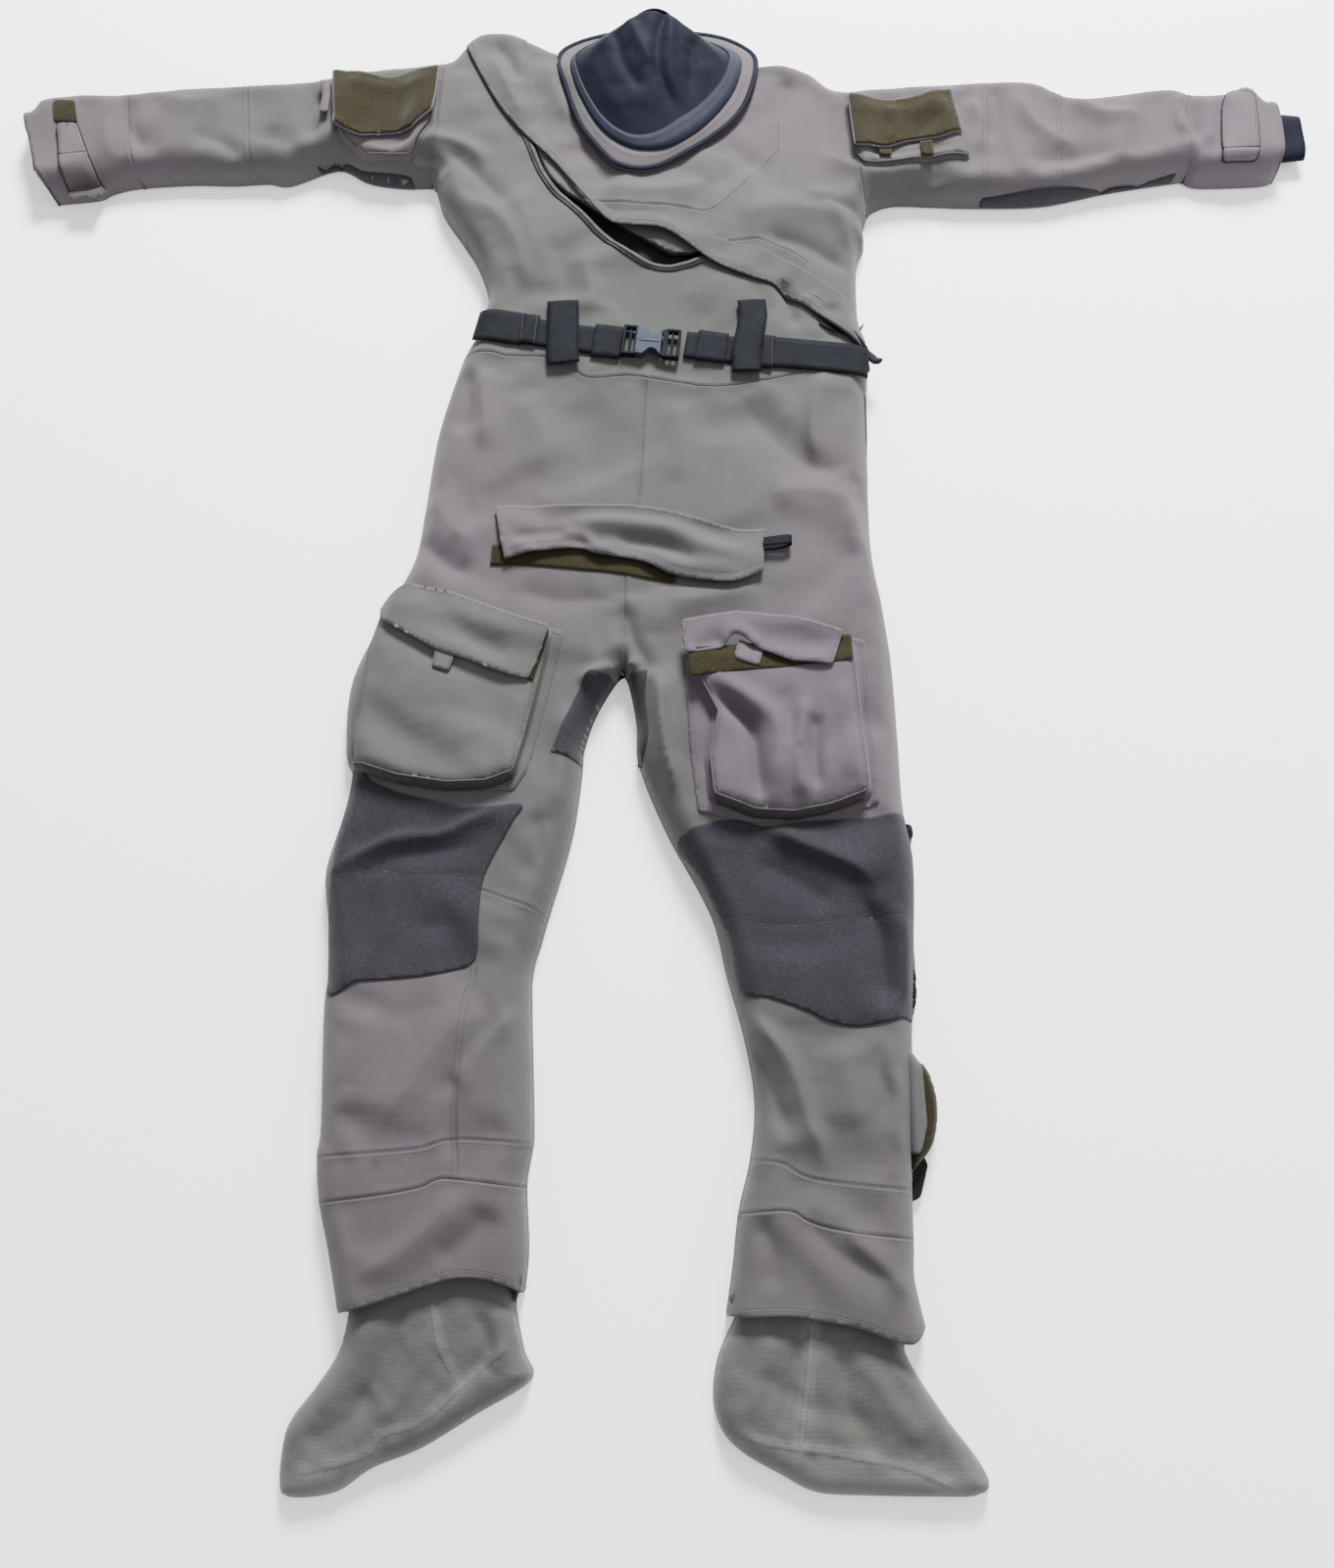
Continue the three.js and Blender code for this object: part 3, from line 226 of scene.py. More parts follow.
# Folds as (height, width, lean, points). A negative height is a valley, and lean makes one side steeper.
FOLDS = [
    (5, 13, 0.3, [(-288, 600), (-252, 562), (-238, 508), (-226, 462)]),
    (-4, 10, 0, [(-274, 590), (-246, 540), (-236, 500)]),
    (5, 16, -0.3, [(-272, 628), (-222, 592), (-190, 544), (-176, 470)]),
    (-5, 13, 0, [(-306, 700), (-266, 676), (-226, 634), (-206, 600)]),
    (6, 13, 0.2, [(-352, 700), (-306, 712), (-262, 700), (-232, 668)]),
    (-5, 10, 0, [(-340, 690), (-308, 688), (-284, 664)]),
    (4, 16, 0, [(-200, 650), (-186, 600), (-168, 548), (-150, 500)]),
    (-4, 22, 0, [(-150, 560), (-130, 500), (-126, 450)]),
    (4, 18, 0, [(-110, 540), (-96, 480), (-98, 430)]),
    (5, 15, 0.2, [(-244, 860), (-222, 820), (-204, 776), (-180, 730)]),
    (-5, 11, 0, [(-232, 880), (-212, 842), (-196, 800)]),
    (4, 16, 0, [(-160, 850), (-150, 800), (-128, 740)]),
    (-4, 20, 0, [(-120, 720), (-90, 668), (-60, 636)]),
    (4, 22, 0, [(-90, 650), (-40, 628), (30, 634), (80, 660)]),
    (-4, 26, 0, [(20, 640), (80, 650), (130, 700)]),
    (4, 20, 0, [(90, 590), (150, 600), (210, 590), (250, 560)]),
    (-6, 14, 0, [(120, 566), (172, 548), (214, 520), (244, 500)]),
    (5, 14, 0.3, [(178, 640), (214, 610), (232, 572), (236, 530)]),
    (-5, 10, 0, [(262, 600), (226, 606), (196, 622)]),
    (5, 16, 0, [(200, 700), (246, 668), (300, 662), (360, 676)]),
    (-5, 14, 0, [(250, 640), (320, 652), (390, 664)]),
    (-9, 10, 0.3, [(148, 492), (158, 452), (166, 414)]),
    (5, 13, 0, [(176, 470), (188, 440), (196, 402)]),
    (-5, 12, 0, [(206, 452), (214, 420), (216, 396)]),
    (9, 13, 0.5, [(206, 366), (190, 324), (180, 270), (186, 214)]),
    (-7, 34, 0, [(96, 320), (130, 268), (172, 226), (228, 210)]),
    (5, 22, 0, [(120, 180), (180, 186), (236, 166)]),
    (5, 18, 0.3, [(214, 190), (232, 128), (252, 70), (262, 10)]),
    (-5, 16, 0, [(226, 220), (246, 160), (252, 110)]),
    (7, 13, 0.4, [(-232, 370), (-228, 330), (-222, 280), (-226, 236)]),
    (-5, 14, 0, [(-246, 366), (-244, 310), (-250, 260)]),
    (4, 22, 0, [(-180, 330), (-150, 260), (-150, 200)]),
    (-3, 26, 0, [(-100, 320), (-90, 250), (-100, 190)]),
    (3, 20, 0, [(10, 320), (20, 250), (10, 190)]),
    (4, 20, 0, [(-290, 190), (-262, 140), (-220, 110)]),
    (-5, 16, 0, [(-300, 130), (-270, 96), (-230, 70)]),
    (-5, 20, 0, [(-180, 56), (-120, 40), (-70, 48)]),
    (5, 22, 0, [(0, 40), (60, 46), (120, 60)]),
    (13, 10, -0.5, [(-104, -66), (-80, -50), (-58, -42), (-34, -36), (-22, -38)]),
    (-7, 12, 0, [(-46, 40), (-40, 0), (-26, -30), (-12, -60)]),
    (12, 10, 0.4, [(-24, -44), (-8, -64), (-6, -100), (2, -150), (16, -210)]),
    (6, 16, 0, [(-120, -80), (-112, -150), (-124, -230)]),
    (-4, 14, 0, [(-150, -214), (-140, -260), (-160, -300)]),
    (7, 9, -0.5, [(-378, -292), (-346, -270), (-304, -251), (-250, -244), (-214, -228), (-170, -212)]),
    (-4, 13, 0, [(-350, -296), (-300, -272), (-240, -262), (-200, -252)]),
    (-3, 30, 0, [(-300, -340), (-250, -350), (-220, -340)]),
    (11, 15, 0.5, [(104, -236), (152, -257), (210, -284), (238, -310)]),
    (-6, 20, 0, [(96, -270), (150, -300), (196, -330)]),
    (-10, 15, -0.3, [(214, -306), (238, -362), (240, -448)]),
    (5, 12, 0, [(262, -320), (266, -380), (262, -440)]),
    (-9, 9, 0, [(10, -256), (28, -288), (52, -336), (68, -376), (80, -424)]),
    (10, 15, -0.6, [(76, -424), (100, -456), (128, -488), (142, -520), (150, -552), (162, -584),
                    (170, -622)]),
    (-9, 13, 0, [(86, -462), (108, -500), (120, -540), (132, -580)]),
    (4, 11, 0.3, [(246, -462), (240, -498), (248, -532), (244, -566), (254, -604)]),
    (-3, 11, 0, [(232, -470), (228, -500), (234, -530), (230, -566)]),
    (5, 20, 0, [(190, -470), (196, -520), (200, -570)]),
    (5, 24, 0, [(-196, -424), (-240, -476), (-282, -540), (-310, -580)]),
    (-4, 16, 0, [(-170, -440), (-208, -486), (-244, -540)]),
    (5, 12, 0.3, [(-146, -440), (-176, -460), (-206, -500), (-214, -540)]),
    (-5, 9, 0, [(-222, -500), (-226, -550), (-224, -600)]),
    (4, 24, 0, [(-320, -430), (-330, -500), (-336, -560)]),
    (5, 16, 0.3, [(-210, -622), (-236, -656), (-276, -690), (-316, -714)]),
    (-4, 16, 0, [(-180, -640), (-200, -670), (-236, -700)]),
    (-5, 16, 0, [(140, -640), (164, -676), (210, -706), (250, -716)]),
    (6, 14, 0.3, [(180, -664), (216, -694), (254, -734)]),
    (-5, 14, 0, [(96, -650), (112, -690), (108, -730)]),
    (5, 13, 0, [(-430, 742), (-452, 716), (-500, 700)]),
    (-5, 12, 0, [(-462, 800), (-476, 760), (-470, 716)]),
    (5, 16, 0, [(-500, 820), (-514, 770), (-530, 720)]),
    (-4, 14, 0, [(-560, 690), (-600, 720), (-640, 730)]),
    (4, 18, 0, [(-590, 790), (-640, 776), (-690, 790)]),
    (-4, 12, 0, [(-690, 700), (-720, 740), (-722, 790)]),
    (5, 14, 0, [(-740, 800), (-748, 740), (-736, 680)]),
    (5, 13, 0, [(404, 790), (424, 750), (416, 690)]),
    (-5, 12, 0, [(440, 820), (448, 770), (436, 710)]),
    (5, 16, 0, [(470, 800), (500, 740), (560, 700)]),
    (-5, 16, 0, [(470, 690), (540, 690), (610, 706)]),
    (5, 15, 0, [(540, 790), (590, 760), (650, 760)]),
    (6, 9, 0, [(700, 800), (690, 760), (696, 720)]),
    (-6, 8, 0, [(712, 806), (710, 760), (712, 710)]),
    (5, 12, 0, [(724, 800), (730, 750), (724, 700)]),
]
FOLD_SCALE = 1.3  # all the folds together, higher or lower
FOLD_LINES = [(height, width, lean, curve(points, 8.0)) for height, width, lean, points in FOLDS]

# Seams that are sewn inside a panel or between panels: each gets a groove, two felled ridges and puckers.
SEAMS = {
    "waist": WAIST,
    "centre": CENTRE,
    "yoke": [(-108, 618), (-98, 614), (-32, 603), (22, 602), (62, 598), (92, 624), (154, 698)],
    "yoke_end": [(150, 748), (148, 698)],
    "chest_low": [(62, 538), (90, 551), (122, 553), (158, 536), (182, 514)],
    "right_inner_knee": [(-201, -310), (-128, -336)],
    "right_shin": [(-206, -388), (-208, -412), (-214, -430), (-218, -482), (-221, -546), (-216, -614)],
    "right_shin_band": [(-368, -594), (-262, -586), (-220, -576), (-142, -580)],
    "left_inner_knee": [(56, -335), (72, -331)],
    "left_shin_band": [(92, -597), (122, -600), (158, -616), (264, -628)],
    "right_shin_seam": RIGHT_SHIN_SEAM,
    "left_shin_seam": LEFT_SHIN_SEAM,
    "right_armhole": RIGHT_ARMHOLE,
    "left_armhole": LEFT_ARMHOLE,
    "right_elbow": [(-568, 824), (-566, 780), (-556, 700), (-552, 680)],
    "left_upper": [(436, 830), (430, 760), (424, 640)],
    "left_elbow": [(534, 815), (530, 750), (524, 648)],
    "right_cuff": RIGHT_CUFF_SEAM,
    "left_cuff": LEFT_CUFF_SEAM,
}
SEAM_LINES = {name: curve(points, 5.0) for name, points in SEAMS.items()}


def edge_distance(points, reach=ROLL):
    """Distance from each point to the side edge of the suit, up to reach."""
    best = np.full(len(points), reach, float)
    for line in SILHOUETTE:
        for start in range(0, len(line) - 1, 16):
            stretch = line[start : start + 17]
            low, high = stretch.min(0) - reach, stretch.max(0) + reach
            pick = np.nonzero(np.all((points > low) & (points < high), axis=1))[0]
            if len(pick):
                best[pick] = np.minimum(best[pick], near(points[pick], stretch)[0])
    return best


def fold_height(points):
    """Height of the listed folds."""
    total = np.zeros(len(points))
    for height, width, lean, line in FOLD_LINES:
        low, high = line.min(0) - 3 * width, line.max(0) + 3 * width
        pick = np.all((points > low) & (points < high), axis=1)
        if not pick.any():
            continue
        distance, share, side = near(points[pick], line)
        taper = smoothstep(share * 4) * smoothstep((1 - share) * 4)
        spread = width * (1 + lean * side * 0.6)
        shape = 0.62 * np.exp(-((distance / spread) ** 2)) + 0.38 * np.exp(-distance / (0.5 * spread))
        total[pick] += FOLD_SCALE * height * shape * taper
    return total


def seam_height(points):
    """Height of the seams: a groove between two ridges, with puckers."""
    total = np.zeros(len(points))
    for seed, line in enumerate(SEAM_LINES.values()):
        low, high = line.min(0) - 20, line.max(0) + 20
        pick = np.all((points > low) & (points < high), axis=1)
        if not pick.any():
            continue
        distance = near(points[pick], line)[0]
        felled = 0.7 * np.exp(-(((distance - 3.2) / 2.2) ** 2))
        groove = -0.6 * np.exp(-((distance / 1.2) ** 2))
        pucker = 0.7 * noise(points[pick], 13.0, 40 + seed) * np.exp(-((distance / 9) ** 2))
        total[pick] += felled + groove + pucker
    return total


SETTLED = {"grid": None}


def settled_height(points):
    """How far the simulated cloth moved from where it was laid."""
    if SETTLED["grid"] is None:
        return np.zeros(len(points))
    grid, origin, cell = SETTLED["grid"], SETTLED["origin"], SETTLED["cell"]
    p = (points - origin) / cell
    p = np.clip(p, 0, np.array(grid.shape) - 1.001)
    c = np.floor(p).astype(int)
    t = p - c
    low = grid[c[:, 0], c[:, 1]] * (1 - t[:, 0]) + grid[c[:, 0] + 1, c[:, 1]] * t[:, 0]
    high = grid[c[:, 0], c[:, 1] + 1] * (1 - t[:, 0]) + grid[c[:, 0] + 1, c[:, 1] + 1] * t[:, 0]
    return low * (1 - t[:, 1]) + high * t[:, 1]


def calm(points):
    """How free the cloth is to fold: little of it under the belt and the two zip sliders."""
    held = np.zeros(len(points))
    for line in CALM:
        held = np.maximum(held, np.exp(-((near(points, line)[0] / 26) ** 2)))
    return 1 - 0.85 * held


def surface(points, seams=True):
    """Height of the suit's front at each point, in millimetres."""
    points = np.asarray(points, float)
    distance = edge_distance(points)
    roll = 1 - np.clip(distance / ROLL, 0, 1)
    profile = np.sqrt(np.clip(1 - roll * roll, 0, 1))
    out = np.maximum(-300 - points[:, 0], points[:, 0] - 250)
    top = BODY_TOP + (SLEEVE_TOP - BODY_TOP) * smoothstep(out / 60)
    wave = 1.8 * noise(points, 150, 1) + 0.5 * noise(points, 60, 2) + 0.15 * noise(points, 24, 3)
    relief = (fold_height(points) + settled_height(points) + wave) * calm(points)
    if seams:
        relief = relief + seam_height(points)
    return EDGE_Z + (top - EDGE_Z + relief) * profile


# ---- The cloth simulation that settles the front ----
def settle(cell=10.0, frames=14, slack=-0.025, most=3.5):
    """Lays a net of cloth over the folds, a little larger than its frame, and lets it buckle and settle."""
    low, high = np.array([-880.0, -790.0]), np.array([850.0, 930.0])
    nx, ny = ((high - low) / cell).astype(int) + 1
    gx, gy = np.meshgrid(np.arange(nx), np.arange(ny), indexing="ij")
    points = np.stack([low[0] + gx.ravel() * cell, low[1] + gy.ravel() * cell], axis=1)
    kept = inside(points, [OUTLINE])
    index = -np.ones(nx * ny, int)
    index[kept] = np.arange(kept.sum())
    index = index.reshape(nx, ny)
    quads = []
    for a, b, c, d in zip(index[:-1, :-1].ravel(), index[1:, :-1].ravel(), index[1:, 1:].ravel(),
                          index[:-1, 1:].ravel()):
        if min(a, b, c, d) >= 0:
            quads.append((a, b, c, d))
    xy = points[kept]
    laid = surface(xy, seams=False)
    mesh = bpy.data.meshes.new("settling")
    mesh.from_pydata([(x * MM, y * MM, z * MM) for (x, y), z in zip(xy, laid)], [], quads)
    net = bpy.data.objects.new("settling", mesh)
    bpy.context.collection.objects.link(net)
    pins = net.vertex_groups.new(name="pins")
    held = edge_distance(xy) < 14
    for line in (curve(WAIST), curve(FLAP_FREE), curve(NECKLINE)):
        held |= near(xy, line)[0] < 9
    pins.add([int(i) for i in np.nonzero(held)[0]], 1.0, "REPLACE")
    cloth = net.modifiers.new("cloth", "CLOTH")
    cloth.settings.quality = 4
    cloth.settings.mass = 0.3
    cloth.settings.tension_stiffness = 20
    cloth.settings.compression_stiffness = 20
    cloth.settings.shear_stiffness = 8
    cloth.settings.bending_stiffness = 1.2
    cloth.settings.vertex_group_mass = "pins"
    cloth.settings.shrink_min = slack
    cloth.settings.effector_weights.gravity = 0.0
    cloth.collision_settings.use_collision = False
    cloth.point_cache.frame_start = 1
    cloth.point_cache.frame_end = frames
    scene = bpy.context.scene
    for number in range(1, frames + 1):
        scene.frame_set(number)
    evaluated = net.evaluated_get(bpy.context.evaluated_depsgraph_get())
    moved = np.array([v.co.z for v in evaluated.data.vertices]) / MM
    scene.frame_set(1)
    lift = np.clip(moved - laid, -most, most)
    grid = np.zeros((nx, ny))
    grid[index >= 0] = lift[index[index >= 0]]
    padded = np.pad(grid, 1, mode="edge")
    grid = (padded[:-2, 1:-1] + padded[2:, 1:-1] + padded[1:-1, :-2] + padded[1:-1, 2:] + 4 * grid) / 8
    SETTLED.update(grid=grid, origin=low, cell=cell)
    bpy.data.objects.remove(net)
    bpy.data.meshes.remove(mesh)
    return float(np.abs(lift).mean()), float(np.abs(lift).max())


# ---- Materials ----
MATERIALS = {}
WAVE_PER_MM = 1000 * math.pi / 10  # a wave texture of scale 1 has a band every pi / 10 metres


def tree_of(name, roughness, sheen=0.0, metallic=0.0, specular=0.5):
    """A new material with its nodes, links and shader."""
    material = bpy.data.materials.new(name)
    material.use_nodes = True
    nodes = material.node_tree.nodes
    shader = nodes["Principled BSDF"]
    shader.inputs["Roughness"].default_value = roughness
    shader.inputs["Metallic"].default_value = metallic
    shader.inputs["Specular IOR Level"].default_value = specular
    shader.inputs["Sheen Weight"].default_value = sheen
    shader.inputs["Sheen Roughness"].default_value = 0.5
    return material, nodes, material.node_tree.links, shader


def add(nodes, kind, **values):
    """A shader node. Each keyword is one of its properties, or an input's name with _ for a space."""
    node = nodes.new("ShaderNode" + kind)
    for key, value in values.items():
        if key in node.bl_rna.properties:
            setattr(node, key, value)
        else:
            node.inputs[key.replace("_", " ")].default_value = value
    return node


def place(nodes, links, scale=(1, 1, 1)):
    """The piece's own coordinates, stretched by scale."""
    coordinates = add(nodes, "TexCoord")
    mapping = add(nodes, "Mapping", Scale=scale)
    links.new(coordinates.outputs["Object"], mapping.inputs["Vector"])
    return mapping.outputs["Vector"]


def mixed(nodes, links, factor, a, b, blend="MIX"):
    """A colour mix. The factor, a and b are each a value or another node's output."""
    node = nodes.new("ShaderNodeMix")
    node.data_type = "RGBA"
    node.blend_type = blend
    for socket, value in ((node.inputs[0], factor), (node.inputs[6], a), (node.inputs[7], b)):
        if isinstance(value, bpy.types.NodeSocket):
            links.new(value, socket)
        elif isinstance(value, tuple):
            socket.default_value = (*value, 1)
        else:
            socket.default_value = value
    return node.outputs[2]


def ranged(nodes, links, value, low, high, to_low=0.0, to_high=1.0):
    """A value mapped from one range to another, and kept inside it."""
    node = add(nodes, "MapRange")
    links.new(value, node.inputs[0])
    for index, number in enumerate((low, high, to_low, to_high)):
        node.inputs[index + 1].default_value = number
    return node.outputs[0]


def summed(nodes, links, a, b, operation="ADD"):
    """A sum, or another operation, of two values or outputs."""
    node = add(nodes, "Math", operation=operation)
    for socket, value in zip(node.inputs, (a, b)):
        if isinstance(value, bpy.types.NodeSocket):
            links.new(value, socket)
        else:
            socket.default_value = value
    return node.outputs[0]


def noise_of(nodes, links, size, stretch=(1, 1, 1), detail=3.0, rough=0.55):
    """A noise texture whose features are about size millimetres across."""
    node = add(nodes, "TexNoise", Scale=1000.0 / size, Detail=detail, Roughness=rough)
    links.new(place(nodes, links, stretch), node.inputs["Vector"])
    return node.outputs[0]


def bumped(nodes, links, shader, height, strength, distance=0.0004):
    """Gives a shader fine relief."""
    node = add(nodes, "Bump", Strength=strength, Distance=distance)
    links.new(height, node.inputs["Height"])
    links.new(node.outputs[0], shader.inputs["Normal"])


def weave_of(nodes, links, pitch):
    """Crossed threads, that far apart in millimetres, as a height."""
    coordinates = add(nodes, "TexCoord")
    threads = []
    for direction in ("X", "Y"):
        wave = add(nodes, "TexWave", bands_direction=direction, Scale=WAVE_PER_MM / pitch, Distortion=0.6,
                   Detail=1.0)
        links.new(coordinates.outputs["Object"], wave.inputs["Vector"])
        threads.append(wave.outputs["Fac"])
    return summed(nodes, links, threads[0], threads[1])


def cloth_look(name, slot, green, mauve, roughness=0.86, pitch=1.1, bump=0.3, mottle=0.04, sheen=0.08):
    """Woven laminate: greenish where fresh, mauve where faded by the sun, mottled and spotted, and lighter or
    darker by its light attribute, which also carries painted shade on the pocket gussets and piping.
    """
    material, nodes, links, shader = tree_of(name, roughness, sheen, specular=0.25)
    fade = add(nodes, "Attribute", attribute_name="fade").outputs["Fac"]
    light = add(nodes, "Attribute", attribute_name="light").outputs["Fac"]
    broken = summed(nodes, links, ranged(nodes, links, noise_of(nodes, links, 70), 0.3, 0.7, -0.1, 0.1), fade)
    base = mixed(nodes, links, broken, green, mauve)
    tone = summed(nodes, links, light, ranged(nodes, links, noise_of(nodes, links, 17, detail=6.0), 0.25,
            0.75,
                                              -mottle, mottle))
    fine = ranged(nodes, links, noise_of(nodes, links, 1.6, detail=2.0), 0.3, 0.7, -0.05, 0.05)
    tone = summed(nodes, links, tone, fine)
    brighter = mixed(nodes, links, ranged(nodes, links, tone, 0.0, 1.0), base,
                     tuple(min(1, 2.1 * c) for c in mauve))
    darker = mixed(nodes, links, ranged(nodes, links, tone, 0.0, -1.0), brighter,
                   tuple(0.28 * c for c in green))
    spots = ranged(nodes, links, noise_of(nodes, links, 9.0, detail=8.0, rough=0.7), 0.69, 0.76, 0.0, 0.5)
    coloured = mixed(nodes, links, spots, darker, tuple(0.45 * c for c in green))
    links.new(coloured, shader.inputs["Base Color"])
    height = summed(nodes, links, weave_of(nodes, links, pitch),
                    ranged(nodes, links, noise_of(nodes, links, 6.0, detail=4.0), 0, 1, 0, 2.2))
    bumped(nodes, links, shader, height, bump)
    MATERIALS[name] = (material, slot)


def patch_look(name, slot, dark, pale, sheen=0.05):
    """Abrasion cloth: a coarse, sideways rib with pale worn threads."""
    material, nodes, links, shader = tree_of(name, 0.9, sheen, specular=0.2)
    rib = noise_of(nodes, links, 1.7, (0.45, 1, 1), detail=3.0)
    worn = ranged(nodes, links, rib, 0.36, 0.7)
    wide = ranged(nodes, links, noise_of(nodes, links, 40), 0.3, 0.7, 0.25, 0.8)
    colour = mixed(nodes, links, summed(nodes, links, worn, wide, "MULTIPLY"), dark, pale)
    light = add(nodes, "Attribute", attribute_name="light").outputs["Fac"]
    colour = mixed(nodes, links, ranged(nodes, links, light, 0.0, 1.0), colour, pale)
    links.new(colour, shader.inputs["Base Color"])
    bumped(nodes, links, shader, rib, 0.6, 0.0009)
    MATERIALS[name] = (material, slot)


def plain_look(name, slot, dark, pale, roughness, size=12.0, bump=0.2, grain=1.5, sheen=0.0, specular=0.4,
               stretch=(1, 1, 1), metallic=0.0):
    """A single material whose colour wanders between dark and pale, with a fine grain."""
    material, nodes, links, shader = tree_of(name, roughness, sheen, metallic, specular)
    wander = ranged(nodes, links, noise_of(nodes, links, size, detail=5.0), 0.3, 0.7)
    light = add(nodes, "Attribute", attribute_name="light").outputs["Fac"]
    colour = mixed(nodes, links, wander, dark, pale)
    colour = mixed(nodes, links, ranged(nodes, links, light, 0.0, 1.0), colour,
                   tuple(min(1, 2.2 * c) for c in pale))
    links.new(colour, shader.inputs["Base Color"])
    bumped(nodes, links, shader, noise_of(nodes, links, grain, stretch), bump)
    MATERIALS[name] = (material, slot)


def make_materials():
    """Every cloth, rubber, thread, metal and plastic of the suit, kept in MATERIALS."""
    green, mauve = (0.0425, 0.0475, 0.042), (0.0735, 0.0575, 0.070)
    cloth_look("shell", "shell_cloth", green, mauve)
    cloth_look("faded", "faded_cloth", green, mauve)
    cloth_look("pocket", "pocket_cloth", (0.056, 0.058, 0.053), (0.066, 0.0525, 0.064), mottle=0.03)
    cloth_look("sock", "shell_cloth", (0.049, 0.053, 0.046), (0.098, 0.104, 0.098), roughness=0.7,
               mottle=0.03, bump=0.5)
    patch_look("patch", "patch_cloth", (0.011, 0.011, 0.0145), (0.027, 0.027, 0.034))
    plain_look("neoprene", "neoprene", (0.003, 0.0037, 0.0085), (0.0048, 0.0058, 0.0125), 0.75, bump=0.3,
               specular=0.08)
    plain_look("rim", "neoprene", (0.0085, 0.01, 0.019), (0.0125, 0.0145, 0.026), 0.7, bump=0.3,
               specular=0.12)
    plain_look("webbing", "webbing", (0.0026, 0.003, 0.005), (0.0056, 0.0063, 0.0098), 0.8, bump=0.7,
               grain=1.8, stretch=(0.35, 1.3, 1), specular=0.1)
    plain_look("loop", "loop_cloth", (0.0105, 0.009, 0.0036), (0.02, 0.017, 0.0075), 1.0, size=4.0, bump=1.0,
               grain=1.4, sheen=0.1, specular=0.1)
    plain_look("tape", "black_tape", (0.003, 0.003, 0.003), (0.007, 0.007, 0.0065), 0.8, bump=0.4,
               specular=0.2)
    plain_look("lower_tape", "black_tape", (0.026, 0.026, 0.022), (0.046, 0.045, 0.038), 0.9, bump=0.5)
    plain_look("mesh", "mesh_cloth", (0.006, 0.0055, 0.0055), (0.03, 0.028, 0.029), 0.9, size=2.2, bump=1.0,
               grain=2.2)
    plain_look("thread", "shell_cloth", (0.02, 0.02, 0.019), (0.033, 0.032, 0.03), 0.9)
    plain_look("pale_thread", "webbing", (0.06, 0.055, 0.042), (0.1, 0.09, 0.07), 0.8)
    # Near-black for the tubes round the cuff tabs' edges: painted shadow.
    plain_look("tab_edge_shadow", "black_tape", (0.008, 0.008, 0.009), (0.016, 0.016, 0.016), 0.9, specular=0.1)
    plain_look("metal", "zip_metal", (0.3, 0.28, 0.24), (0.42, 0.4, 0.35), 0.35, metallic=1.0, bump=0.1)
    plain_look("plastic", "buckle_plastic", (0.004, 0.0045, 0.006), (0.008, 0.009, 0.012), 0.7, bump=0.15,
               specular=0.06)
    plain_look("plastic_blue", "buckle_plastic", (0.017, 0.021, 0.037), (0.025, 0.03, 0.05), 0.6, bump=0.1,
               specular=0.12)


# Places where the cloth has faded or is lighter or darker: x, y, radius, fade, light.
TINTS = [
    (-210, 870, 66, 0.55, -0.1), (-150, 800, 60, 0.35, 0.0), (-30, 630, 120, 0.75, 0.05),
    (90, 680, 90, 0.5, 0.05),
    (176, 800, 86, 1.0, 0.0), (220, 740, 60, 0.7, 0.0), (150, 845, 40, 0.7, -0.2),
    (-700, 750, 130, 0.75, 0.0), (-830, 730, 60, 0.9, 0.0), (-560, 760, 80, 0.2, 0.0),
    (-420, 760, 70, 0.2, 0.0),
    (560, 760, 110, 0.7, 0.0), (680, 750, 120, 0.9, -0.02), (790, 740, 80, 1.0, 0.0),
    (420, 780, 60, 0.7, 0.0),
    (-20, 480, 150, 0.05, -0.22), (-220, 500, 70, 0.25, -0.14), (-230, 780, 60, 0.4, -0.12),
    (220, 560, 60, 0.1, -0.16), (230, 460, 60, 0.3, 0.0), (-100, 400, 90, 0.1, 0.0),
    (-250, 260, 100, 0.75, 0.0), (-220, 120, 110, 0.85, 0.02), (-120, 240, 100, 0.35, 0.0),
    (60, 240, 110, 0.15, 0.02), (40, 160, 90, 0.4, 0.02), (210, 180, 110, 0.9, 0.02),
    (210, 300, 60, 0.2, 0.0),
    (250, 20, 90, 0.8, 0.0), (-60, 40, 90, 0.5, 0.02), (-30, -20, 60, 0.1, 0.16), (20, -120, 60, 0.1, 0.0),
    (60, 60, 80, 0.4, 0.0), (262, -130, 60, 1.0, 0.08), (-130, -200, 60, 0.45, 0.02),
    (-110, -120, 40, 0.3, 0.0),
    (-150, -330, 60, 0.1, 0.0), (-170, -440, 60, 0.35, 0.0), (-280, -470, 110, 0.65, 0.05),
    (-300, -560, 90, 0.8, 0.06), (-180, -560, 60, 0.5, 0.03), (-240, -680, 110, 0.65, -0.12),
    (150, -500, 70, 0.25, 0.0), (230, -500, 80, 0.5, 0.0), (140, -600, 70, 0.45, 0.02),
    (230, -700, 90, 0.6, 0.0),
    (110, -700, 70, 0.45, 0.0), (50, -340, 50, 0.3, 0.0),
]
# Small spots where the cloth is darker: x, y, radius, how much darker.
DARK_SPOTS = [
    (-152, 872, 10, 0.5), (132, 838, 16, 0.7), (158, 822, 12, 0.5), (168, 808, 9, 0.6), (-236, 92, 9, 0.5),
    (-250, 120, 7, 0.4), (150, -150, 4, 0.6), (262, 640, 9, 0.6), (268, 560, 10, 0.5), (-282, 560, 8, 0.5),
    (-300, -600, 6, 0.4), (70, -520, 8, 0.35), (-140, -500, 8, 0.4), (96, -610, 10, 0.3),
    (-330, -300, 8, 0.3),
]


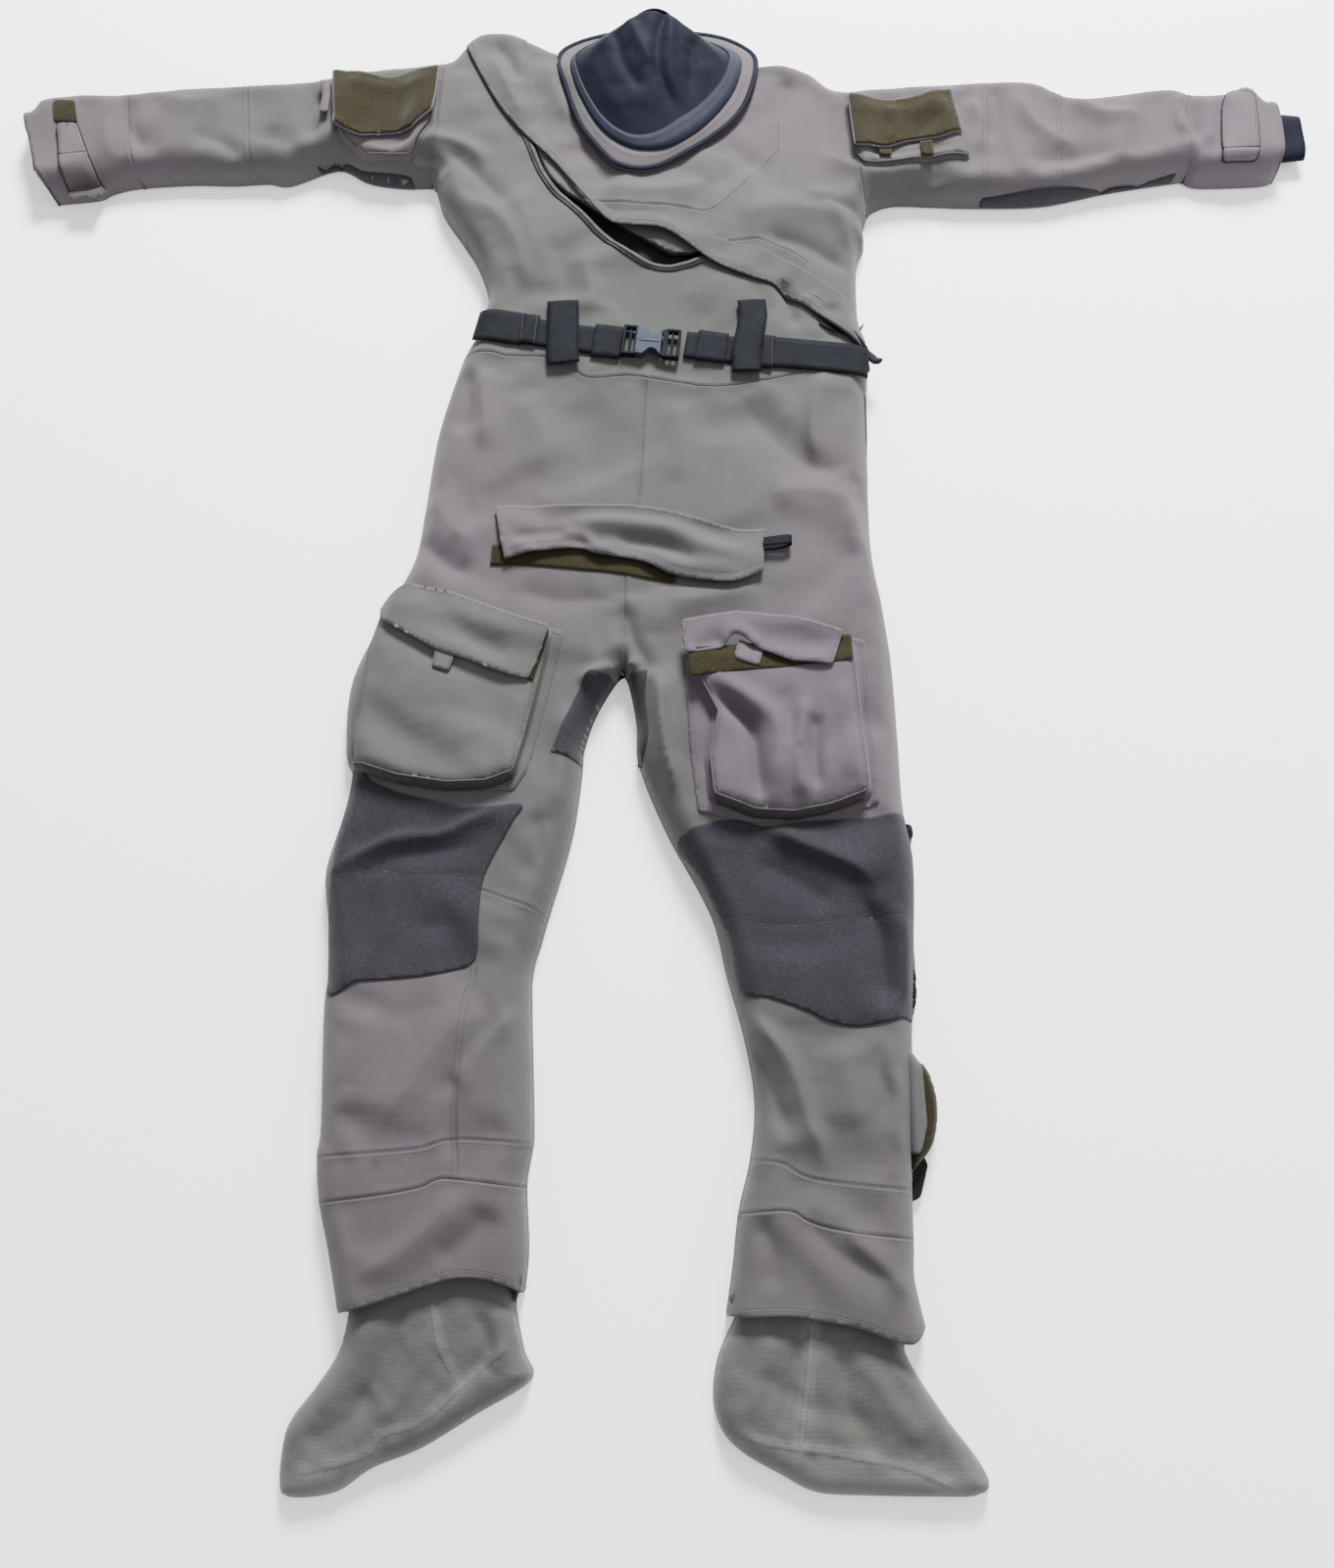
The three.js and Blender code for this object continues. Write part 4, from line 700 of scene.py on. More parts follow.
def paint(obj, points, fade=None, light=0.0):
    """Stores how faded and how light each point of a piece is."""
    xy = np.asarray(points)[:, :2]
    weight = np.full(len(xy), 0.12)
    faded = np.full(len(xy), 0.12 * 0.3)
    lit = np.zeros(len(xy))
    for x, y, radius, much, bright in TINTS:
        near_it = np.exp(-(((xy[:, 0] - x) ** 2 + (xy[:, 1] - y) ** 2) / radius**2))
        weight += near_it
        faded += near_it * much
        lit += near_it * bright
    faded, lit = faded / weight, lit / weight
    for x, y, radius, much in DARK_SPOTS:
        lit -= much * np.exp(-(((xy[:, 0] - x) ** 2 + (xy[:, 1] - y) ** 2) / radius**2))
    if fade is not None:
        faded = np.full(len(xy), fade)
    for key, values in (("fade", faded), ("light", lit + light)):
        attribute = obj.data.attributes.new(key, "FLOAT", "POINT")
        attribute.data.foreach_set("value", np.ascontiguousarray(values, dtype=np.float32))


# ---- Building pieces ----
def make(name, points, faces, look, body="suit", stands_for=(), thick=0.0, fade=None, light=0.0, smooth=True):
    """Adds a piece of the object. Points are in millimetres."""
    mesh = bpy.data.meshes.new(name)
    mesh.from_pydata([tuple(p) for p in np.asarray(points, float) * MM], [],
                     [tuple(map(int, f)) for f in faces])
    mesh.validate()
    obj = bpy.data.objects.new(name, mesh)
    bpy.context.collection.objects.link(obj)
    material, slot = MATERIALS[look]
    mesh.materials.append(material)
    if smooth:
        mesh.shade_smooth()
    paint(obj, points, fade, light)
    if thick:
        solid = obj.modifiers.new("thickness", "SOLIDIFY")
        solid.thickness = thick * MM
        solid.offset = -1
        solid.use_even_offset = False
    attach(obj, body)
    if stands_for:
        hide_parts(*([stands_for] if isinstance(stands_for, str) else stands_for))
    return obj


def along(line, step, closed=False):
    """The line with points a step apart."""
    line = np.asarray(line, float)
    if closed:
        line = np.vstack([line, line[:1]])
    reach = np.concatenate([[0], np.cumsum(np.linalg.norm(np.diff(line, axis=0), axis=1))])
    count = max(2, round(reach[-1] / step))
    at = np.linspace(0, reach[-1], count + 1)
    if closed:
        at = at[:-1]
    return np.stack([np.interp(at, reach, line[:, k]) for k in range(line.shape[1])], axis=1)


def sides(line):
    """The unit direction and the unit left-hand normal at each point of a line."""
    d = np.gradient(np.asarray(line, float)[:, :2], axis=0)
    d /= np.maximum(np.linalg.norm(d, axis=1), 1e-9)[:, None]
    return d, np.stack([-d[:, 1], d[:, 0]], axis=1)


def beside(line, offset):
    """The line moved to its left, or to its right if the offset is negative."""
    return np.asarray(line)[:, :2] + sides(line)[1] * offset


def stretch(line, start, end):
    """The part of a line from the point nearest start to the point nearest end, in that order."""
    line = np.asarray(line)
    a = int(np.argmin(np.linalg.norm(line - np.array(start, float), axis=1)))
    b = int(np.argmin(np.linalg.norm(line - np.array(end, float), axis=1)))
    return line[a : b + 1] if a <= b else line[b : a + 1][::-1]


def triangles(loops, inner):
    """Fills closed loops with triangles that use the inner points too."""
    points, edges = [], []
    for loop in loops:
        first = len(points)
        points.extend(loop)
        edges.extend((first + k, first + (k + 1) % len(loop)) for k in range(len(loop)))
    points = np.vstack([np.array(points), inner]) if len(inner) else np.array(points)
    out = delaunay_2d_cdt([Vector(p) for p in points.tolist()], edges, [], 0, 1e-4)
    flat = np.array([tuple(v) for v in out[0]])
    faces = np.array([tuple(f) for f in out[2]])
    centres = flat[faces].mean(axis=1)
    faces = faces[inside(centres, loops)]
    used = np.unique(faces)
    renumber = -np.ones(len(flat), int)
    renumber[used] = np.arange(len(used))
    return flat[used], renumber[faces]


def net(loops, step, edge_step, fine=True):
    """Points inside closed loops, closer together beside the suit's side edges and its seams."""
    whole = np.vstack(loops)
    low, high = whole.min(0), whole.max(0)

    def grid(pitch):
        rows = np.arange(low[1], high[1], pitch * 0.866)
        lines = []
        for number, y in enumerate(rows):
            xs = np.arange(low[0] + (number % 2) * pitch / 2, high[0], pitch)
            lines.append(np.stack([xs, np.full(len(xs), y)], axis=1))
        return np.vstack(lines)

    def clear(points, gap):
        points = points[inside(points, loops)]
        keep = np.ones(len(points), bool)
        for loop in loops:
            ring = np.vstack([loop, loop[:1]])
            for start in range(0, len(ring) - 1, 12):
                part = ring[start : start + 13]
                box_low, box_high = part.min(0) - gap, part.max(0) + gap
                pick = np.nonzero(np.all((points > box_low) & (points < box_high), axis=1))[0]
                if len(pick):
                    keep[pick[near(points[pick], part)[0] < gap]] = False
        return points[keep]

    points = clear(grid(step), edge_step * 0.6)
    if not fine:
        return points
    points = points[edge_distance(points) > 9]
    rim = clear(grid(step * 0.5), edge_step * 0.45)
    rim = rim[edge_distance(rim) <= 9]
    extra = []
    for line in SEAM_LINES.values():
        for offset in (-6.5, -3.4, -1.4, 0, 1.4, 3.4, 6.5):
            extra.append(beside(along(line, 4.0), offset))
    seam_points = clear(np.vstack(extra), 1.2)
    if len(seam_points):
        for line in SEAM_LINES.values():
            box_low, box_high = line.min(0) - 9, line.max(0) + 9
            pick = np.nonzero(np.all((points > box_low) & (points < box_high), axis=1))[0]
            keep = np.ones(len(points), bool)
            keep[pick[near(points[pick], line)[0] < 8.5]] = False
            points = points[keep]
    return np.vstack([points, rim, seam_points])


def panel(name, loops, look, height=surface, step=STEP, edge_step=3.5, fine=True, **more):
    """A sheet of cloth over the suit that fills closed loops, lifted to a height at each point."""
    loops = [along(loop, edge_step, closed=True) for loop in loops]
    flat, faces = triangles(loops, net(loops, step, edge_step, fine))
    points = np.column_stack([flat, height(flat)])
    more.setdefault("thick", CLOTH)
    return make(name, points, faces, look, **more)


def over(lift, seams=False):
    """A height that stays lift above the front."""
    return lambda points: surface(points, seams) + lift


def strip(name, line, width, look, height, step=4.0, across=7, thick=1.6, crown=0.0, **more):
    """A flat band along a line, which follows a height across its width."""
    line = along(line, step)
    left = sides(line)[1]
    shares = np.linspace(-0.5, 0.5, across)
    flat = np.concatenate([line[:, :2] + left * width * s for s in shares])
    z = height(flat) + crown * (1 - 4 * np.repeat(shares, len(line)) ** 2)
    count = len(line)
    faces = [(r * count + k, r * count + k + 1, (r + 1) * count + k + 1, (r + 1) * count + k)
             for r in range(across - 1) for k in range(count - 1)]
    return make(name, np.column_stack([flat, z]), faces, look, thick=thick, **more)


def sweep(name, path, wide, tall, look, turns=10, closed=False, **more):
    """An oval tube along a path of (x, y, z) points. Wide and tall are its half sizes, along the path."""
    path = np.asarray(path, float)
    count = len(path)
    forward = np.gradient(path, axis=0)
    if closed:
        forward = np.roll(path, -1, 0) - np.roll(path, 1, 0)
    forward /= np.maximum(np.linalg.norm(forward, axis=1), 1e-9)[:, None]
    side = np.cross(np.array([0, 0, 1.0]), forward)
    side /= np.maximum(np.linalg.norm(side, axis=1), 1e-6)[:, None]
    up = np.cross(forward, side)
    wide, tall = np.broadcast_to(wide, count), np.broadcast_to(tall, count)
    points = []
    for k in range(turns):
        a = 2 * math.pi * k / turns
        points.append(path + side * (math.cos(a) * wide)[:, None] + up * (math.sin(a) * tall)[:, None])
    points = np.vstack(points)
    last = count if closed else count - 1
    faces = [(r * count + k, r * count + (k + 1) % count, ((r + 1) % turns) * count + (k + 1) % count,
              ((r + 1) % turns) * count + k) for r in range(turns) for k in range(last)]
    if not closed:
        faces.append([r * count for r in range(turns)])
        faces.append([r * count + count - 1 for r in range(turns)][::-1])
    faces = [tuple(f)[::-1] for f in faces]
    return make(name, points, faces, look, **more)


def stitched(name, lines, height, look="thread", pitch=3.7, length=2.6, width=0.7, tall=0.3, **more):
    """Rows of thread: one short stitch after another along each line."""
    points, faces = [], []
    for line in lines:
        line = along(line, pitch)
        direction, left = sides(line)
        z = height(line[:, :2])
        slope = np.clip(np.gradient(z) / pitch, -0.6, 0.6)
        for p, d, n, h, rise in zip(line, direction, left, z, slope):
            first = len(points)
            tip = length / 2
            points += [(p[0] - d[0] * tip, p[1] - d[1] * tip, h - rise * tip),
                       (p[0] + d[0] * tip, p[1] + d[1] * tip, h + rise * tip),
                       (p[0] - n[0] * width / 2, p[1] - n[1] * width / 2, h + tall * 0.3),
                       (p[0] + n[0] * width / 2, p[1] + n[1] * width / 2, h + tall * 0.3),
                       (p[0], p[1], h + tall), (p[0], p[1], h - tall * 0.3)]
            faces += [(first, first + 2, first + 4), (first + 2, first + 1, first + 4),
                      (first + 1, first + 3, first + 4), (first + 3, first, first + 4),
                      (first + 2, first, first + 5), (first + 1, first + 2, first + 5),
                      (first + 3, first + 1, first + 5), (first, first + 3, first + 5)]
    return make(name, points, faces, look, **more)


# ---- The shell ----
GAPE_X, GAPE_WIDTH = -42, 84  # where the entry zip is open, and how far that spreads


def zip_gape(line):
    """How far the zip has sprung open along its line, from 0 to 1."""
    return np.exp(-(((line[:, 0] - GAPE_X) / GAPE_WIDTH) ** 2))


def shell_front():
    """The cloth panels of the front, cut along its seams."""
    zip_low = curve(ZIP_LOW, 5.0)
    waist = curve(WAIST, 5.0)
    centre = curve(CENTRE, 5.0)
    armhole_r, armhole_l = curve(RIGHT_ARMHOLE, 5.0), curve(LEFT_ARMHOLE, 5.0)
    lower = joined(stretch(SIDE_R, (-260, 382), (-312, 672)), armhole_r[:-1], zip_low,
                   stretch(SIDE_L, (256, 384), (261, 372)), waist[::-1])
    panel("jacket_front_low", [lower], "shell", stands_for=("jacket_front_lower",))
    zip_high = zip_low + sides(zip_low)[1] * (7 + 26 * zip_gape(zip_low))[:, None]
    upper = joined(zip_high[1:-1], stretch(SIDE_L, (257, 400), (268, 612)), armhole_l,
                   stretch(TOP_L, (238, 812), (124, 854)), curve(NECKLINE, 5.0)[::-1],
                   stretch(TOP_R, (-150, 878), (-284, 886)))
    panel("jacket_front_high", [upper], "shell", stands_for=("jacket_front_upper",))
    right = joined(stretch(SIDE_R, (-368, -628), (-260, 382)), stretch(waist, (-260, 382), (-24, 344)),
                   centre, stretch(CROTCH, (-54, -43), (-146, -624)), curve(RIGHT_SHIN_SEAM, 5.0)[::-1])
    panel("right_trouser_cloth", [right], "shell", stands_for="right_trouser_front")
    left = joined(stretch(SIDE_L, (261, 372), (264, -676)), curve(LEFT_SHIN_SEAM, 5.0)[::-1],
                  stretch(CROTCH, (79, -650), (-46, -44)), centre[::-1],
                  stretch(waist, (-24, 344), (261, 372)))
    panel("left_trouser_cloth", [left], "shell", stands_for="left_trouser_front")
    gaiter = joined(stretch(SIDE_R, (-338, -748), (-368, -640)), curve(RIGHT_SHIN_SEAM, 5.0),
                    stretch(CROTCH, (-146, -624), (-145, -728)), curve(RIGHT_HEM, 5.0)[::-1])
    panel("right_gaiter_cloth", [gaiter], "faded", stands_for="right_gaiter")
    gaiter = joined(curve(LEFT_SHIN_SEAM, 5.0), stretch(SIDE_L, (263, -676), (270, -758)),
                    curve(LEFT_HEM, 5.0)[::-1], stretch(CROTCH, (64, -750), (79, -650)))
    panel("left_gaiter_cloth", [gaiter], "faded", stands_for="left_gaiter")
    cuff_r, cuff_l = curve(RIGHT_CUFF_SEAM, 5.0), curve(LEFT_CUFF_SEAM, 5.0)
    sleeve = joined(stretch(SIDE_R, (-312, 672), (-706, 672)), cuff_r[::-1],
                    stretch(TOP_R, (-728, 814), (-298, 862)), armhole_r[::-1])
    panel("right_sleeve_cloth", [sleeve], "shell", stands_for="right_sleeve_front")
    cuff = joined(stretch(SIDE_R, (-706, 672), (-818, 646)), curve(RIGHT_CUFF_END, 5.0),
                  stretch(TOP_R, (-866, 782), (-728, 814)), cuff_r)
    panel("right_cuff_cloth", [cuff], "faded", stands_for="right_cuff")
    sleeve = joined(stretch(SIDE_L, (703, 682), (268, 612)), armhole_l,
                    stretch(TOP_L, (238, 812), (712, 813)), cuff_l)
    panel("left_sleeve_cloth", [sleeve], "shell", stands_for="left_sleeve_front")
    cuff = joined(stretch(TOP_L, (712, 813), (822, 800)), curve(LEFT_CUFF_END, 5.0),
                  stretch(SIDE_L, (824, 682), (703, 682)), cuff_l[::-1])
    panel("left_cuff_cloth", [cuff], "faded", stands_for="left_cuff")


def shell_back():
    """The back lies flat on the floor and meets the front at the side seams."""
    def low(points):
        return 0.9 + (EDGE_Z - 0.6) * (1 - smoothstep(edge_distance(points) / 14))

    waist = np.array([(-262, 360), (0, 340), (262, 360)], float)
    seat_low = [np.array([(-373, -150), (-96, -150)], float), np.array([(-32, -150), (276, -150)], float)]
    jacket = joined(stretch(SIDE_R, (-262, 360), (-312, 672)), curve(RIGHT_ARMHOLE),
                    stretch(TOP_R, (-298, 862), (-150, 878)), curve(NECK_BACK)[::-1],
                    stretch(TOP_L, (124, 854), (238, 812)), curve(LEFT_ARMHOLE)[::-1],
                    stretch(SIDE_L, (268, 612), (262, 360)), waist[::-1])
    more = {"height": low, "step": 12.0, "edge_step": 6.0, "fine": False, "thick": 0.6}
    panel("jacket_back_cloth", [jacket], "shell", stands_for="jacket_back", **more)
    seat = joined(stretch(SIDE_R, (-373, -150), (-262, 360)), waist, stretch(SIDE_L, (262, 360), (276, -150)),
                  seat_low[1][::-1], stretch(CROTCH, (-32, -150), (-96, -150)), seat_low[0][::-1])
    panel("seat_cloth", [seat], "patch", stands_for="seat_panel", **more)
    leg = joined(stretch(SIDE_R, (-338, -748), (-373, -150)), seat_low[0],
                 stretch(CROTCH, (-96, -150), (-145, -728)))
    panel("right_leg_back_cloth", [leg], "shell", stands_for="right_leg_back", **more)
    leg = joined(seat_low[1], stretch(SIDE_L, (276, -150), (270, -758)),
                 stretch(CROTCH, (64, -750), (-32, -150)))
    panel("left_leg_back_cloth", [leg], "shell", stands_for="left_leg_back", **more)
    for side, edge, top, armhole, end, loop in (
        ("right", SIDE_R, TOP_R, RIGHT_ARMHOLE, RIGHT_CUFF_END,
         ((-312, 672), (-818, 646), (-866, 782), (-298, 862))),
        ("left", SIDE_L, TOP_L, LEFT_ARMHOLE, LEFT_CUFF_END,
         ((268, 612), (824, 682), (822, 800), (238, 812))),
    ):
        end = curve(end) if side == "right" else curve(end)[::-1]
        sleeve = joined(stretch(edge, loop[0], loop[1]), end, stretch(top, loop[2], loop[3]),
                        curve(armhole)[::-1])
        panel(side + "_sleeve_back_cloth", [sleeve], "shell", stands_for=side + "_sleeve_back", **more)


def seam_stitches():
    """Thread beside every seam and along the gaiters' hems."""
    rows = []
    for line in SEAM_LINES.values():
        for offset in (-3.2, 3.2):
            rows.append(beside(line, offset))
    stitched("seam_stitches", rows, over(0.15, True))
    hems = [beside(curve(RIGHT_HEM), 5), beside(curve(RIGHT_HEM), 8), beside(curve(LEFT_HEM), 5),
            beside(curve(LEFT_HEM), 8)]
    stitched("hem_stitches", hems, over(0.3, True))


# ---- Knee, elbow and seat patches ----
RIGHT_KNEE = [
    (-362, -174), (-330, -184), (-298, -197), (-242, -211), (-204, -214), (-160, -212), (-170, -232),
    (-190, -270),
    (-201, -300), (-203, -340), (-206, -386), (-232, -399), (-274, -407), (-328, -410), (-373, -406),
]
LEFT_KNEE = [
    (14, -250), (44, -235), (80, -229), (116, -237), (150, -232), (182, -229), (230, -226), (277, -222),
    (282, -270),
    (280, -358), (274, -444), (256, -450), (208, -459), (174, -453), (154, -443), (112, -428), (86, -424),
    (78, -400), (70, -360), (42, -296),
]


def patches():
    """Knee patches, and the dark cloth that wraps round at the crotch, elbows and hip."""
    for side, outline, seam in (("right", RIGHT_KNEE, [(-378, -291), (-340, -286), (-310, -285), (-288, -291),
                                                       (-238, -290), (-200, -292)]),
                                ("left", LEFT_KNEE,
                                 [(64, -337), (110, -346), (158, -346), (220, -338), (256, -337),
                                                     (281, -341)])):
        loop = curve(outline, 4.0, closed=True)
        seam = curve(seam, 4.0)

        def height(points, loop=loop, seam=seam):
            groove = -1.3 * np.exp(-((near(points, seam)[0] / 1.6) ** 2))
            return surface(points, False) + 1.5 + groove

        panel(side + "_knee_cloth", [loop], "patch", height=height, stands_for=side + "_knee_patch")
        inner = beside(loop, 2.6)
        keep = inside(inner, [loop])
        rows = [inner[keep] if keep.mean() > 0.5 else beside(loop, -2.6)]
        rows += [beside(seam, -2.6), beside(seam, 2.6)]
        stitched(side + "_knee_stitches", rows, lambda p, h=height: h(p) + 0.2, "thread")
    inner_right = joined(stretch(CROTCH, (-58, -50), (-96, -160)),
                         np.array([(-112, -154), (-130, -147), (-118, -118), (-104, -84), (-91, -55),
                                   (-74, -50)]))
    panel("right_inner_thigh", [inner_right], "patch", height=over(1.4))
    inner_left = joined(stretch(CROTCH, (-46, -48), (-30, -156)), curve([(-27, -158), (-19, -122), (-23, -78),
                                                                        (-20, -44)]))
    panel("left_inner_thigh", [inner_left], "patch", height=over(1.4))
    elbow = joined(stretch(SIDE_L, (690, 681), (424, 641)),
                   curve([(424, 642), (468, 645), (560, 657), (634, 671),
                                                                   (690, 683)]))
    panel("left_elbow_cloth", [elbow], "patch", height=over(2.4), step=3.0, stands_for="left_elbow_panel")
    elbow = joined(stretch(SIDE_R, (-340, 672), (-470, 693)), curve([(-470, 695), (-434, 701), (-400, 683),
                                                                     (-340, 674)]))
    panel("right_elbow_cloth", [elbow], "patch", height=over(2.4), step=3.0, stands_for="right_elbow_panel")
    hip = joined(stretch(SIDE_L, (260, 330), (256, 250)), curve([(252, 250), (252, 330)]))
    panel("hip_wrap", [hip], "patch", height=over(2.4), step=3.0)


# ---- Shapes that stand off the front ----
def ruled(name, lines, look, closed=False, **more):
    """A surface through several 3-D lines that hold the same number of points."""
    count = len(lines[0])
    last = count if closed else count - 1
    faces = [(r * count + k, r * count + (k + 1) % count, (r + 1) * count + (k + 1) % count,
              (r + 1) * count + k)
             for r in range(len(lines) - 1) for k in range(last)]
    return make(name, np.vstack(lines), faces, look, **more)


def outward(loop, distance):
    """A closed loop moved outwards, or inwards if the distance is negative."""
    loop = np.asarray(loop, float)
    d = np.roll(loop, -1, 0) - np.roll(loop, 1, 0)
    d /= np.maximum(np.linalg.norm(d, axis=1), 1e-9)[:, None]
    area = np.sum(loop[:, 0] * np.roll(loop[:, 1], -1) - np.roll(loop[:, 0], -1) * loop[:, 1])
    normal = np.stack([d[:, 1], -d[:, 0]], axis=1) * np.sign(area)
    return loop + normal * distance


def rounded(points, cut=3.0, step=3.0):
    """A closed outline with straight sides and slightly rounded corners."""
    points = np.array(points, float)
    out = []
    for before, at, after in zip(np.roll(points, 1, 0), points, np.roll(points, -1, 0)):
        a = at + (before - at) / np.linalg.norm(before - at) * cut
        b = at + (after - at) / np.linalg.norm(after - at) * cut
        out += [a, 0.25 * a + 0.5 * at + 0.25 * b, b]
    return along(np.array(out), step, closed=True)


def creased(base, creases):
    """A height with ridges and valleys of its own, given as (height, width, points)."""
    creases = [(h, w, curve(points, 6.0)) for h, w, points in creases]

    def height(points):
        z = base(points)
        for rise, width, line in creases:
            distance, share = near(points, line)[:2]
            taper = smoothstep(share * 4 + 0.3) * smoothstep((1 - share) * 4 + 0.3)
            z = z + rise * np.exp(-((distance / width) ** 2)) * taper
        return z

    return height


def lifted(loop, height):
    """A flat line raised to a height at each point."""
    return np.column_stack([loop, height(np.asarray(loop))])


# ---- Entry zip and its cover ----
def entry_zip():
    """The entry zip: its two tapes, a near-black sheet inside its gap that stands for the lining there and
    paints the shade inside the suit, and the cover flap over it.
    """
    low = stretch(curve(ZIP_LOW, 4.0), (-262, 880), (232, 430))
    gape = zip_gape(low)
    strip("zip_tape_low", beside(low, 1.5), 9, "lower_tape", over(1.6), across=5, thick=1.2, crown=0.8,
          stands_for="zip_tape_lower")
    teeth = beside(low, 1.0)
    sweep("zip_teeth_low", lifted(teeth, over(2.7)), 0.8, 0.7, "tape", turns=6)
    upper = low + sides(low)[1] * (9 + 26 * gape)[:, None]
    strip("zip_tape_high", upper, 9, "tape", over(-1.5), across=5, thick=1.2, stands_for="zip_tape_upper")
    # Near-black rows sunk inside the open zip: the lining seen through the gap, darkened to paint the shade
    # inside the suit.
    inside_gape = low[low[:, 0] < 130]
    gap_rows = [lifted(inside_gape + sides(inside_gape)[1] * shift, over(drop)) for shift, drop in
             ((-6, -3.5), (4, -9), (16, -13), (30, -12), (46, -5))]
    ruled("zip_gap_lining_shade", gap_rows, "tape")
    free, sewn = curve(FLAP_FREE, 4.0), curve(FLAP_SEWN, 4.0)
    loop = joined(free, stretch(SIDE_L, (260, 392), (257, 440)), sewn[::-1],
                  stretch(TOP_R, (-190, 896), (-272, 890)))

    def height(points):
        distance = near(points, free)[0]
        to_sewn = near(points, sewn)[0]
        edge = np.exp(-((distance / 26) ** 2))
        lens = np.exp(-(((points[:, 0] - GAPE_X) / 95) ** 2))
        tuck = np.clip(to_sewn / 4, 0, 1)
        ripple = 1.4 * noise(points, 34, 21) * edge
        slider = np.exp(-(((points[:, 0] - 210) / 34) ** 2) - ((points[:, 1] - 415) / 26) ** 2)
        return surface(points, False) + 0.9 + 1.6 * tuck + edge * (1.2 + 9 * lens) + ripple + 5 * slider

    panel("zip_cover_cloth", [loop], "shell", height=height, step=4.0, stands_for="zip_cover_flap")
    stitched("zip_cover_stitches", [beside(sewn, -2.2), beside(sewn, -5.0), beside(free, 7.0)],
             lambda p: height(p) + 0.2)
    path = lifted(free, height)
    path[:, 2] -= 1.0
    share = np.linspace(0, 1, len(path))
    thick = 0.7 + 1.7 * smoothstep((share - 0.78) * 6)
    sweep("zip_cover_binding", path, thick, thick * 0.9, "tape", turns=8)
    end = curve([(214, 430), (232, 416), (250, 398), (264, 384), (271, 375)], 3.0)
    path = lifted(end, lambda p: np.maximum(surface(p, False) + 4.0, 34))
    share = np.linspace(0, 1, len(path))
    sweep("zip_cover_end", path, 2.2 + 3.8 * smoothstep((share - 0.45) * 3), 1.6 + 1.6 * share, "tape",
          turns=10)


# ---- Neck ----
NECK_FRONT = [(-146, 846), (-134, 798), (-114, 734), (-84, 688), (-64, 667), (-38, 659), (-14, 662),
              (12, 675), (46, 698), (86, 732), (110, 770), (124, 826)]
NECK_BACK = [(120, 866), (88, 898), (30, 912), (-30, 914), (-90, 906), (-134, 882)]
RIM_FRONT = [(-128, 836), (-117, 784), (-88, 724), (-52, 692), (-16, 685), (16, 695), (56, 728), (90, 776),
             (104, 824)]
RIM_BACK = [(98, 858), (66, 884), (20, 896), (-30, 898), (-80, 891), (-114, 868)]


COLLAR_Z = 53  # height of the collar's foot at the front
COLLAR_FALL = 24  # how much lower it lies at the nape
SEAL_MOST_Z = 112  # no crease of the seal rises above this


